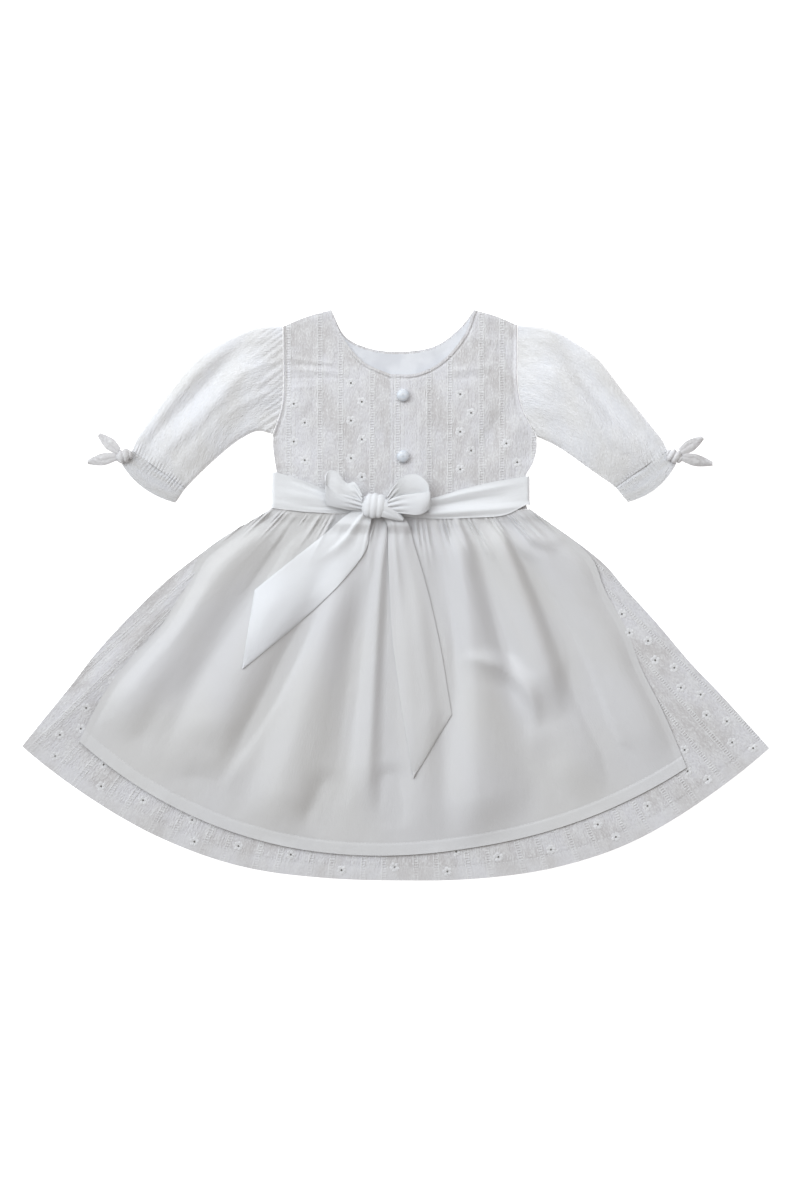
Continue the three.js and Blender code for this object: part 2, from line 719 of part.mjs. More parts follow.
// Rings of a flattened sleeve: over its top from the outer edge, then back under it.
// shift moves a spot of a section off the straight line between its two edges.
// Each ring has two columns over the top for each one under it.
function sleeveRows(table, rowShares, counts, relief, shift) {
  const outer = [];
  const inner = [];
  rowShares.forEach((share, n) => {
    const at = section(table, share);
    const from = new THREE.Vector2(at.ox, at.oy);
    const to = new THREE.Vector2(at.ux, at.uy);
    const span = to.clone().sub(from);
    const width = span.length();
    const unders = counts[n];
    const tops = 2 * unders;
    const low = WALL / 2;
    const ring = [{ a: 0, z: low + SLEEVE_EDGE }];
    for (let k = 1; k < tops; k++) {
      const a = k / tops;
      const crown = Math.sin(Math.PI * a) ** 0.55;
      ring.push({ a, z: low + 2 * SLEEVE_EDGE + at.rise * crown * relief(a, share) });
    }
    ring.push({ a: 1, z: low + SLEEVE_EDGE });
    for (let k = unders - 1; k > 0; k--) ring.push({ a: k / unders, z: low });
    const count = ring.length;
    const flat = ring.map(({ a, z }) => new THREE.Vector2(a * width, z));
    const place = (p) => {
      const a = p.x / width;
      const moved = shift(THREE.MathUtils.clamp(a, 0, 1), share);
      const spot = from.clone().addScaledVector(span, a).add(moved);
      return new THREE.Vector3(spot.x, spot.y, p.y);
    };
    const offset = (distance) =>
      flat.map((p, k) => {
        const along = flat[(k + 1) % count].clone().sub(flat[(k + count - 1) % count]);
        const out = new THREE.Vector2(-along.y, along.x).normalize();
        const edge = k === 0 || k === tops ? 0.72 : 1;
        return place(p.clone().addScaledVector(out, distance * edge));
      });
    outer.push(offset(WALL / 2));
    inner.push(offset(-WALL / 2));
  });
  return { outer, inner };
}

// Folds that fan out of the armhole gathers, and the long folds down the sleeve.
function sleeveRelief(a, share) {
  const fan = (1 - ramp(share, 0.05, 0.42)) * (1 - ramp(a, 0.68, 0.86));
  const gathers = 0.2 * fan * Math.cos(2 * Math.PI * SLEEVE_GATHERS * a * 1.25);
  const valley = 0.42 * Math.exp(-(((a - mix(0.34, 0.42, share)) / 0.12) ** 2));
  const crest = 0.22 * Math.exp(-(((a - mix(0.56, 0.66, share)) / 0.13) ** 2));
  return 1 + gathers - valley * ramp(share, 0.08, 0.3) + crest;
}

function sleeves() {
  const capUnders = 13;
  const lowUnders = 8;
  const rowShares = [0, 0.07, 0.16, 0.28, 0.42, 0.56, 0.7, 0.85, 1];
  const counts = rowShares.map((share) => (share < 0.3 ? capUnders : lowUnders));
  const tables = { left: LEFT_SLEEVE, right: RIGHT_SLEEVE };
  for (const [side, table] of Object.entries(tables)) {
    const outward = side === "left" ? -1 : 1;
    const armhole = line(side === "left" ? LEFT_ARMHOLE : RIGHT_ARMHOLE);
    const [{ ox, oy, ux, uy }] = table;
    const shift = (a, share) => {
      const edge = armhole(a);
      const off = new THREE.Vector2(edge.x + outward * 2 * SEAM_GAP, edge.y);
      off.sub(new THREE.Vector2(mix(ox, ux, a), mix(oy, uy, a)));
      return off.multiplyScalar(1 - ramp(share, 0, 0.4));
    };
    const { outer, inner } = sleeveRows(table, rowShares, counts, sleeveRelief, shift);
    add(`sleeve_${side}`, wall(outer, inner, true), materials.eyelet);
  }
  const cuffShares = [0, 0.33, 0.67, 1];
  const cuffCounts = cuffShares.map(() => 6);
  const cuffs = { left: LEFT_CUFF, right: RIGHT_CUFF };
  for (const [side, table] of Object.entries(cuffs)) {
    const [seam, hem] = table;
    const outward = new THREE.Vector2(hem.ox - seam.ox, hem.oy - seam.oy).normalize();
    const shift = (a, share) => outward.clone().multiplyScalar(CUFF_BOW * share * 4 * a * (1 - a));
    const { outer, inner } = sleeveRows(table, cuffShares, cuffCounts, () => 1, shift);
    add(`cuff_${side}`, wall(outer, inner, true), materials.eyelet);
  }
}

// A knot as a rounded lump, creased by the turns of cloth round it.
function knotGeometry({ long, wide, high }, creases, base) {
  const geometry = new THREE.SphereGeometry(1, 18, 10);
  const place = geometry.getAttribute("position");
  for (let n = 0; n < place.count; n++) {
    const p = new THREE.Vector3().fromBufferAttribute(place, n);
    const around = Math.atan2(p.z, p.y);
    const girth = 1 - 0.1 * (0.5 + 0.5 * Math.cos(creases * around + 2 * p.x));
    const squared = Math.sign(p.x) * Math.abs(p.x) ** 0.8;
    place.setXYZ(n, squared * long, p.y * wide * girth, p.z * (high / 2) * girth);
  }
  geometry.computeBoundingBox();
  geometry.translate(0, 0, base - geometry.boundingBox.min.z);
  return geometry;
}

// A pointed tie end: a doubled strip, widest a third of the way along, creased lengthwise.
// It leaves the side of its knot and comes down to the ground at its tip.
function tieEnd(knot, tip) {
  const centre = new THREE.Vector2(knot.x, knot.y);
  const way = new THREE.Vector2(tip.x, tip.y).sub(centre).normalize();
  const angle = way.angle() - radians(knot.turn);
  const { long, wide, high, base } = CUFF_KNOT;
  const knotRadius = 1 / Math.hypot(Math.cos(angle) / long, Math.sin(angle) / wide);
  const root = centre.clone().addScaledVector(way, knotRadius + SEAM_GAP);
  const reach = new THREE.Vector2(tip.x, tip.y).sub(root);
  const side = new THREE.Vector2(-reach.y, reach.x).normalize();
  const lift = base + high / 2 - TIE_WALL / 2;
  const outline = [
    { along: 0, half: 0.26 },
    { along: 0.14, half: 0.38 },
    { along: 0.4, half: 0.5 },
    { along: 0.7, half: 0.36 },
    { along: 0.92, half: 0.14 },
    { along: 1, half: 0.04 },
  ];
  const spot = (across, down) => {
    const half = CUFF_TIE_WIDTH * column(outline, "along", down, "half");
    const p = root.clone().addScaledVector(reach, down).addScaledVector(side, half * (1 - 2 * across));
    return { x: p.x, y: p.y };
  };
  const rows = [];
  const raised = [];
  for (const down of shares(6)) {
    const under = lift * (1 - ramp(down, 0, 1));
    const row = shares(4).map((across) => {
      const { x, y } = spot(across, down);
      return new THREE.Vector3(x, y, under);
    });
    rows.push(row);
    raised.push(
      row.map((p, k) => {
        const crease = Math.sin((Math.PI * k) / 4);
        return new THREE.Vector3(p.x, p.y, p.z + TIE_WALL * (0.6 + 0.4 * crease));
      }),
    );
  }
  return wall(raised, rows, false);
}

function cuffTies() {
  for (const [side, { knot, tips }] of Object.entries(CUFF_TIES)) {
    const geometry = knotGeometry(CUFF_KNOT, 3, CUFF_KNOT.base);
    const lump = add(`cuff_knot_${side}`, geometry, materials.eyelet);
    lump.rotation.z = radians(knot.turn);
    lump.position.set(knot.x, knot.y, 0);
    for (const [name, tip] of Object.entries(tips)) {
      add(`cuff_tie_${name}_${side}`, tieEnd(knot, tip), materials.eyelet);
    }
  }
}

// Domed shank button, turned about its stem.
function buttons() {
  const { radius, height, stem, x } = BUTTON;
  const rim = 1.2;
  const profile = [new THREE.Vector2(0, 0), new THREE.Vector2(stem, 0), new THREE.Vector2(stem, 0.9)];
  profile.push(new THREE.Vector2(radius - rim, 0.9));
  const turns = 6;
  for (const share of shares(turns)) {
    const angle = mix(-Math.PI / 3, Math.PI / 2, share);
    const dome = new THREE.Vector2(
      radius * Math.cos(angle),
      rim + 0.9 + (height - rim - 0.9) * Math.max(Math.sin(angle), 0.4 * Math.sin(angle)),
    );
    if (share < 1) profile.push(dome);
  }
  profile.push(new THREE.Vector2(0, height));
  const places = { upper: BUTTON.upperY, lower: BUTTON.lowerY };
  for (const [name, y] of Object.entries(places)) {
    const geometry = new THREE.LatheGeometry(profile, 18).rotateX(Math.PI / 2);
    const button = add(`button_${name}`, geometry, materials.pearl);
    const seat = bodiceUnder(x, y) + lapLift(x) + WALL;
    button.position.set(x, y, seat + BUTTON.clear);
  }
}

// One front stretch of the sash, from the side where it rolls round to the bow.
function sashFront(topRows, bottomRows, outward) {
  const top = line(topRows);
  const bottom = line(bottomRows);
  const roll = 0.16;
  const low = WALL / 2;
  return (across, down) => {
    const flat = Math.max(0, (across - roll) / (1 - roll));
    const p = top(flat).lerp(bottom(flat), down);
    const lift = sashUnder(p.x, p.y) + WALL / 2;
    const lengthwise = SASH_RIB * Math.sin(2 * Math.PI * down) ** 2 * ramp(flat, 0.05, 0.3);
    if (across >= roll) return new THREE.Vector3(p.x, p.y, lift + lengthwise);
    const turn = Math.PI * (1 - across / roll);
    const radius = (lift - low) / 2;
    const x = p.x + outward * radius * Math.sin(turn);
    return new THREE.Vector3(x, p.y, low + radius + radius * Math.cos(turn));
  };
}

function sash() {
  const left = sashFront(SASH_LEFT_TOP, SASH_LEFT_BOTTOM, -1);
  const right = sashFront(SASH_RIGHT_TOP, SASH_RIGHT_BOTTOM, 1);
  add("sash_left", ribbon(left, 5, 24), materials.plain);
  add("sash_right", ribbon(right, 5, 28), materials.plain);

  const inset = SEAM_GAP + 0.1;
  const endLeft = { top: SASH_LEFT_TOP[0].x + inset, bottom: SASH_LEFT_BOTTOM[0].x + inset };
  const endRight = { top: SASH_RIGHT_TOP[0].x - inset, bottom: SASH_RIGHT_BOTTOM[0].x - inset };
  const backSpot = (across, down) => ({
    x: mix(mix(endLeft.top, endLeft.bottom, down), mix(endRight.top, endRight.bottom, down), across),
    y: mix(
      mix(SASH_LEFT_TOP[0].y, SASH_RIGHT_TOP[0].y, across),
      mix(SASH_LEFT_BOTTOM[0].y, SASH_RIGHT_BOTTOM[0].y, across),
      down,
    ),
  });
  add("sash_back", panel(backSpot, () => 0, evenBands(1, 4)), materials.plain);
}

// A bow loop: a ribbon on edge, leaning over, that leaves the knot and comes back to it.
function loopMiddle(table) {
  return (across, down) => {
    const at = section(table, across);
    const lean = radians(at.lean);
    const reach = (0.5 - down) * at.width;
    const curl = 1.6 * Math.sin(Math.PI * down);
    return new THREE.Vector3(
      at.x + curl * 0.3,
      at.y + reach * Math.sin(lean) - curl * Math.cos(lean),
      at.z + reach * Math.cos(lean) + curl * Math.sin(lean),
    );
  };
}

// A sash tail lies on the apron's points, moved out, and bridges its deepest valleys.
function tailMiddle(table) {
  const bridged = 2.6;
  return (across, down) => {
    const at = section(table, down);
    const x = mix(at.lx, at.rx, across);
    const y = mix(at.ly, at.ry, across);
    const { bearing, reach } = polar(x, y);
    const rise = gatherRise(bearing, reach) + foldRise(bearing, reach);
    const under = apronUnder(x, y) - rise + Math.hypot(rise, bridged);
    const overBand = sashUnder(x, y) + SASH_RIB + WALL;
    const onSash = ramp(y, 54, 66);
    const lift = mix(under + WALL, Math.max(under + WALL, overBand), onSash) + at.up;
    return new THREE.Vector3(x, y, lift + LAY_GAP + WALL / 2);
  };
}

function bow() {
  const knot = add("bow_knot", knotGeometry(BOW_KNOT, 5, BOW_KNOT.base), materials.plain);
  knot.position.set(BOW_KNOT.x, BOW_KNOT.y, 0);
  add("bow_loop_left", ribbon(loopMiddle(LEFT_LOOP), 4, 24), materials.plain);
  add("bow_loop_right", ribbon(loopMiddle(RIGHT_LOOP), 4, 24), materials.plain);
  add("sash_tail_left", ribbon(tailMiddle(LEFT_TAIL), 20, 6), materials.plain);
  add("sash_tail_right", ribbon(tailMiddle(RIGHT_TAIL), 20, 6), materials.plain);
}

backBodice();
neckLining();
bodiceFronts();
skirts();
sleeves();
cuffTies();
buttons();
sash();
bow();

export default gown;
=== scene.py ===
"""A baby's christening gown, laid flat on its back and seen from straight above.

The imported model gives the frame. Every cloth piece is made here again as a thin shell, with the
creases, hems, stitches and embroidery that the solids leave out. The shells do not lie exactly on
their solids. The apron's folds leave its solid by up to 11 mm and the bow's loops theirs by up to
15 mm. The bow's flap has no solid. Most other pieces leave theirs by 1 to 6 mm at the worst spot.
Metres, +Z up, neck towards +Y.
"""

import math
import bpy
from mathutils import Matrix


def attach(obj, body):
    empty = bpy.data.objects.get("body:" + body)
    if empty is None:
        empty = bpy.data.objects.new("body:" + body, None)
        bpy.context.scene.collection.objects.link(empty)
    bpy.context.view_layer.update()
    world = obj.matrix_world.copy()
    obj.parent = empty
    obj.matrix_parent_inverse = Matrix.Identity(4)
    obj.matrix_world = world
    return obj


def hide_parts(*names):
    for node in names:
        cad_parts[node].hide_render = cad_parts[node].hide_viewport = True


bl_info = {
    "name": "Christening gown",
    "version": (1, 0, 0),
    "blender": (4, 5, 0),
    "location": "View3D > Sidebar > Gown",
    "description": "Makes a baby's christening gown in eyelet cotton and sateen",
    "category": "Object",
}

import bpy
import numpy as np
from bpy.props import FloatProperty, FloatVectorProperty, IntProperty, PointerProperty
from bpy.types import Operator, Panel, PropertyGroup

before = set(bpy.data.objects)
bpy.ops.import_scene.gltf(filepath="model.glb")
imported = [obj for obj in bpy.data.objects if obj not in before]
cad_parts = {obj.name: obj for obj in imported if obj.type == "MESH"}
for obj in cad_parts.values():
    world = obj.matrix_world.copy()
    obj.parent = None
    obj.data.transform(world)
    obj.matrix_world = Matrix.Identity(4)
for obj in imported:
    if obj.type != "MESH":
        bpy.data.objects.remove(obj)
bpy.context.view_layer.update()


def table(columns, *rows):
    """Rows of sizes as an array for each named column."""
    values = np.array(rows, dtype=float)
    return {name: values[:, n] for n, name in enumerate(columns.split())}


# Cloth walls of the solids and the spaces between them.
WALL = 0.0012
LINING_WALL = 0.001
SEAM_GAP = 0.0003
LAY_GAP = 0.0005
BAND_ROOM = WALL + SEAM_GAP

# The skirt's folds all point at one place above the waist. A spot on the skirt is given by
# its bearing in degrees from straight down, and its reach from there.
FOLD_X = 0.0032
FOLD_Y = 0.19
WAIST_MIDDLE_X = 0.008
WAIST_MIDDLE_Y = 0.0722
WAIST_SIDE_RISE = 0.0065
WAIST_HALF_WIDTH = 0.118
GATHERS = 44
GATHER_HEAD = 0.0007
GATHER_SWELL = 0.0027

BODICE_PUFF = 0.0033
LAP_EDGE_X = -0.0051
LAP_WIDTH = 0.024
WAIST_LEFT_X = -0.1124
WAIST_RIGHT_X = 0.1204
ARMHOLE_SHARE = 0.59
NECK_SHARE = 0.4
LINING_DEPTH = 0.044
SASH_TOP = 0.1124
SASH_BOTTOM = 0.0806
SASH_RIB = 0.0006
CUFF_BOW = 0.0065
SLEEVE_GATHERS = 7
SLEEVE_EDGE = 0.0013
BUTTON_X = 0.006
BUTTON_YS = {"upper": 0.1826, "lower": 0.1265}
BUTTON_CLEAR = 0.0006
BUTTON_PROFILE = table(
    "radius height",
    (0.0004, 0),
    (0.0016, 0),
    (0.0018, 0.0009),
    (0.0044, 0.0009),
    (0.0054, 0.0013),
    (0.0058, 0.0022),
    (0.0057, 0.003),
    (0.0053, 0.0038),
    (0.0045, 0.0045),
    (0.0033, 0.005),
    (0.0018, 0.0053),
    (0.0004, 0.0054),
)
KNOT_X = -0.02
KNOT_Y = 0.0812
KNOT_BASE = 0.0084
BOW_KNOT = {"long": 0.0122, "wide": 0.0118, "high": 0.011, "wraps": 3.6, "twist": 1, "depth": 0.15}
CUFF_KNOT = {"long": 0.008, "wide": 0.0066, "high": 0.0084, "wraps": 2.6, "twist": 1, "depth": 0.4}
CUFF_KNOT_BASE = 0.003
TIE_ROOT_INSET = 0.0006
TIE_LONG = 0.03
TIE_THICK = 0.0016
TIE_TALL = 0.0024
TIE_WIDTH = 0.0106
LOOP_THICK = 0.0008
LOOP_LONG = 0.1
RIBBON_WIDE = 0.05
TAIL_LONG = 0.2
TAIL_WIDE = 0.04
BACK_SASH_LONG = 0.23

# Threads. A stitch starts so many of its lengths after the one before.
STITCH_WIDTH = 0.00042
STITCH_HEIGHT = 0.00024
STITCH_PITCH = 1.4
STITCH_INSET = 0.0008
PETAL_HEIGHT = 0.0003
CORD_HEIGHT = 0.00035
STRAND = 0.0004
SATEEN_THREAD = 0.00045
EYELET_THREAD = 0.0006
LINING_THREAD = 0.0004
FLOWER_TURN = 2.4
FLOWER_FIRST_REACH = 0.13
FLOWER_STAGGER = 0.006

# Shares of an outline's length at which its lines meet.
UNDERLAP_SHARE = 0.78
SHOULDER_SHARE = 0.24

# The flap of the knot, from its root along its run, and its width and height at either end.
FLAP_ROOT = (-0.0135, 0.08)
FLAP_RUN = (0.0195, -0.0118)
FLAP_HALF_WIDTHS = (0.0085, 0.0012)
FLAP_HEIGHTS = (0.0176, 0.0138)

SKIRT_EDGES = table(
    "down left right",
    (0, -46.8, 47),
    (0.12, -49.5, 48.6),
    (0.25, -50.3, 49.2),
    (0.36, -50.4, 48.3),
    (0.5, -49.8, 47.5),
    (0.65, -48.9, 46.6),
    (0.78, -47.8, 46.3),
    (1, -46.5, 45.7),
)
APRON_EDGES = table(
    "down left right",
    (0, -46.6, 46.8),
    (0.12, -49.2, 48.4),
    (0.25, -50, 48.4),
    (0.38, -47.4, 45.3),
    (0.53, -45.2, 43.1),
    (0.66, -44.9, 40.7),
    (0.8, -44.4, 39.2),
    (1, -42.2, 37),
)
SKIRT_HEM = table(
    "bearing reach",
    (-47, 0.479),
    (-37.8, 0.4727),
    (-26.8, 0.4678),
    (-18.6, 0.4635),
    (-9, 0.4558),
    (0, 0.4527),
    (9, 0.4566),
    (18.8, 0.464),
    (27, 0.4686),
    (37.4, 0.4704),
    (46, 0.4743),
)
APRON_HEM = table(
    "bearing reach",
    (-43, 0.4384),
    (-30, 0.4376),
    (-16.6, 0.4349),
    (0, 0.4294),
    (10, 0.4276),
    (25.4, 0.4317),
    (38, 0.4375),
)
FOLDS = table(
    "top low bend from to height left right",
    (-45.5, -39.5, 0, 0.168, 0.415, 0.0055, 6, 7.5),
    (-28.5, -27.5, -0.8, 0.215, 0.426, 0.006, 6.5, 6.5),
    (-16.5, -16, 0, 0.19, 0.432, 0.007, 5.5, 7),
    (-6, -4.5, 0, 0.15, 0.392, 0.0035, 2.8, 2.4),
    (3, 4, 0, 0.21, 0.43, 0.003, 4.5, 4.5),
    (21.5, 10, -1.2, 0.14, 0.428, 0.0078, 5, 7.5),
    (34.5, 26, -0.4, 0.15, 0.338, 0.0086, 8.5, 3.2),
    (24, 25.5, 0, 0.32, 0.425, 0.003, 7, 5),
    (41, 37, 0, 0.16, 0.43, 0.0038, 5, 4.5),
    (46, 44, 0, 0.165, 0.3, 0.0025, 3.5, 3),
)
LEFT_ARMHOLE = table(
    "x y",
    (-0.1044, 0.2461),
    (-0.104, 0.212),
    (-0.1046, 0.1789),
    (-0.109, 0.1605),
    (-0.1134, 0.148),
)
LEFT_SIDE = table(
    "x y",
    (-0.1134, 0.148),
    (-0.1134, 0.134),
    (-0.1114, 0.12),
    (-0.11, 0.111),
    (-0.11, 0.097),
    (-0.1102, 0.0844),
)
RIGHT_ARMHOLE = table(
    "x y",
    (0.1109, 0.2474),
    (0.1109, 0.222),
    (0.1109, 0.196),
    (0.1145, 0.1743),
    (0.1204, 0.16),
    (0.1286, 0.1454),
)
RIGHT_SIDE = table(
    "x y",
    (0.1286, 0.1454),
    (0.1286, 0.1329),
    (0.125, 0.12),
    (0.1189, 0.109),
    (0.1185, 0.096),
    (0.1187, 0.0836),
)
LEFT_SHOULDER = table(
    "x y",
    (-0.1044, 0.2461),
    (-0.0842, 0.2546),
    (-0.0598, 0.2613),
)
RIGHT_SHOULDER = table(
    "x y",
    (0.0711, 0.2613),
    (0.092, 0.2554),
    (0.1109, 0.2474),
)
FRONT_NECK_LEFT = table(
    "x y",
    (-0.0598, 0.2613),
    (-0.0497, 0.2366),
    (-0.0308, 0.2139),
    (-0.0051, 0.2019),
)
FRONT_NECK_UNDERLAP = table(
    "x y",
    (-0.0051, 0.2019),
    (0.007, 0.2011),
    (0.0189, 0.2029),
)
FRONT_NECK_RIGHT = table(
    "x y",
    (-0.0051, 0.2019),
    (0.0189, 0.2029),
    (0.0408, 0.214),
    (0.0612, 0.237),
    (0.0711, 0.2613),
)
BACK_NECK = table(
    "x y",
    (-0.0598, 0.2613),
    (-0.0472, 0.2374),
    (-0.025, 0.2264),
    (0.006, 0.2233),
    (0.036, 0.2287),
    (0.0584, 0.2452),
    (0.0711, 0.2613),
)
LEFT_SLEEVE = table(
    "ox oy ux uy rise",
    (-0.1048, 0.2458, -0.1138, 0.1484, 0.0008),
    (-0.1302, 0.2443, -0.1274, 0.1509, 0.006),
    (-0.1559, 0.2341, -0.1412, 0.1449, 0.0064),
    (-0.1808, 0.2182, -0.1541, 0.1357, 0.0066),
    (-0.2019, 0.1946, -0.167, 0.1247, 0.006),
    (-0.2222, 0.167, -0.1799, 0.1127, 0.0046),
    (-0.2365, 0.146, -0.19, 0.1025, 0.0028),
    (-0.24313, 0.1321, -0.19407, 0.09806, 0.0016),
)
RIGHT_SLEEVE = table(
    "ox oy ux uy rise",
    (0.1113, 0.247, 0.1292, 0.1458, 0.0008),
    (0.1403, 0.2433, 0.1426, 0.1396, 0.006),
    (0.1624, 0.2323, 0.1541, 0.1327, 0.0064),
    (0.1854, 0.2157, 0.1658, 0.1243, 0.0066),
    (0.2074, 0.1876, 0.1776, 0.1159, 0.006),
    (0.2296, 0.1598, 0.1896, 0.1075, 0.0046),
    (0.243, 0.143, 0.198, 0.1018, 0.0028),
    (0.24878, 0.13204, 0.20118, 0.09896, 0.0016),
)
LEFT_CUFF = table(
    "ox oy ux uy rise",
    (-0.24215, 0.13265, -0.19375, 0.09905, 0.0016),
    (-0.2532, 0.1214, -0.2038, 0.0844, 0.0012),
)
RIGHT_CUFF = table(
    "ox oy ux uy rise",
    (0.24785, 0.13265, 0.20085, 0.09995, 0.0016),
    (0.2572, 0.1208, 0.2131, 0.0851, 0.0012),
)
SASH_LEFT_TOP = table(
    "x y",
    (-0.1107, 0.1122),
    (-0.088, 0.1052),
    (-0.0685, 0.0976),
    (-0.045, 0.0906),
    (-0.0206, 0.0876),
)
SASH_LEFT_BOTTOM = table(
    "x y",
    (-0.111, 0.0792),
    (-0.084, 0.0758),
    (-0.055, 0.0744),
    (-0.0206, 0.074),
)
SASH_RIGHT_TOP = table(
    "x y",
    (0.1194, 0.1084),
    (0.089, 0.1034),
    (0.058, 0.096),
    (0.0345, 0.089),
    (0.006, 0.0856),
    (-0.0196, 0.0874),
)
SASH_RIGHT_BOTTOM = table(
    "x y",
    (0.1194, 0.0826),
    (0.1, 0.073),
    (0.07, 0.0704),
    (0.03, 0.0696),
    (-0.0196, 0.0744),
)
LEFT_LOOP = table(
    "x y z lean width",
    (-0.0318, 0.0866, 0.0156, 60, 0.011),
    (-0.038, 0.0936, 0.0148, 80, 0.017),
    (-0.046, 0.0946, 0.014, 92, 0.0145),
    (-0.055, 0.1002, 0.0142, 98, 0.024),
    (-0.0628, 0.0996, 0.0146, 88, 0.026),
    (-0.0652, 0.092, 0.0152, 66, 0.02),
    (-0.056, 0.0868, 0.0156, 80, 0.014),
    (-0.044, 0.0838, 0.0154, 78, 0.013),
    (-0.0316, 0.0812, 0.0146, 60, 0.011),
)
RIGHT_LOOP = table(
    "x y z lean width",
    (-0.0084, 0.0856, 0.0164, 56, 0.011),
    (-0.001, 0.093, 0.0156, 72, 0.017),
    (0.008, 0.0982, 0.014, 84, 0.0215),
    (0.019, 0.0982, 0.0134, 84, 0.0225),
    (0.0284, 0.0924, 0.014, 72, 0.02),
    (0.0292, 0.0862, 0.0148, 80, 0.0165),
    (0.0204, 0.0828, 0.0156, 92, 0.0195),
    (0.006, 0.0822, 0.0156, 88, 0.0165),
    (-0.0082, 0.081, 0.0148, 64, 0.011),
)
LEFT_TAIL = table(
    "lx ly rx ry up",
    (-0.034, 0.0806, -0.0216, 0.0766, 0.0001),
    (-0.0476, 0.0714, -0.0246, 0.061, 0.0004),
    (-0.066, 0.0554, -0.0284, 0.0406, 0.0008),
    (-0.098, 0.03, -0.0476, 0.0144, 0.0004),
    (-0.116, 0.0156, -0.072, -0.0104, 0.0002),
    (-0.1302, 0.0041, -0.098, -0.0334, 0),
    (-0.1362, -0.034, -0.122, -0.0532, 0),
    (-0.1412, -0.0676, -0.1402, -0.0682, 0),
)
RIGHT_TAIL = table(
    "lx ly rx ry up",
    (-0.0174, 0.0762, -0.0074, 0.0796, 0.0001),
    (-0.0084, 0.064, 0.0096, 0.0666, 0.0004),
    (-0.0078, 0.042, 0.017, 0.043, 0.0008),
    (-0.0064, 0.004, 0.0284, 0.004, 0.0004),
    (-0.0034, -0.044, 0.0402, -0.048, 0.0002),
    (0.0034, -0.096, 0.0506, -0.11, 0),
    (0.0096, -0.134, 0.0334, -0.1389, 0),
    (0.015, -0.1684, 0.016, -0.1678, 0),
)
CUFF_KNOTS = {"left": (-0.2502, 0.1272, 20), "right": (0.255, 0.127, -20)}
CUFF_TIPS = {
    "left": {"upper": (-0.2734, 0.1469), "lower": (-0.284, 0.1216)},
    "right": {"upper": (0.2814, 0.1442), "lower": (0.2904, 0.1202)},
}
TIE_OUTLINE = table(
    "along half",
    (0, 0.26),
    (0.14, 0.38),
    (0.4, 0.5),
    (0.7, 0.36),
    (0.92, 0.14),
    (1, 0.04),
)
SLEEVES = {"left": (LEFT_SLEEVE, LEFT_CUFF), "right": (RIGHT_SLEEVE, RIGHT_CUFF)}

# Hems, rims and the lengths that creases are placed by.
SKIRT_HEM_DEPTH = 0.0115
APRON_HEM_DEPTH = 0.0105
APRON_SIDE_HEM = 0.0055
APRON_LOFT = 0.0021
APRON_HEM_LIFTS = (0.0004, -0.0007)
APRON_SIDE_DROP = 0.0008
NECK_RIM = 0.0028
GRAIN_REACH = 0.44
SASH_LONG = 0.1
SASH_DEEP = 0.048
SLEEVE_WIDE = 0.09
SLEEVE_LONG = 0.17

# The eyelet cotton's repeat: a zigzag row of flowers with a ladder stripe on either side.
REPEAT = 0.048
FLOWER_STEP = 0.0345
FLOWER_ASIDE = 0.005
LADDER_PLACES = (0.0145, 0.0335)
LADDER_WIDTH = 0.004
RUNG_STEP = 0.0024
BODICE_ROWS = {
    "left": ((-0.0368, 0.194, 6), (-0.0893, 0.175, 5)),
    "right": ((0.0635, 0.1838, 5), (0.1059, 0.1386, 2)),
}

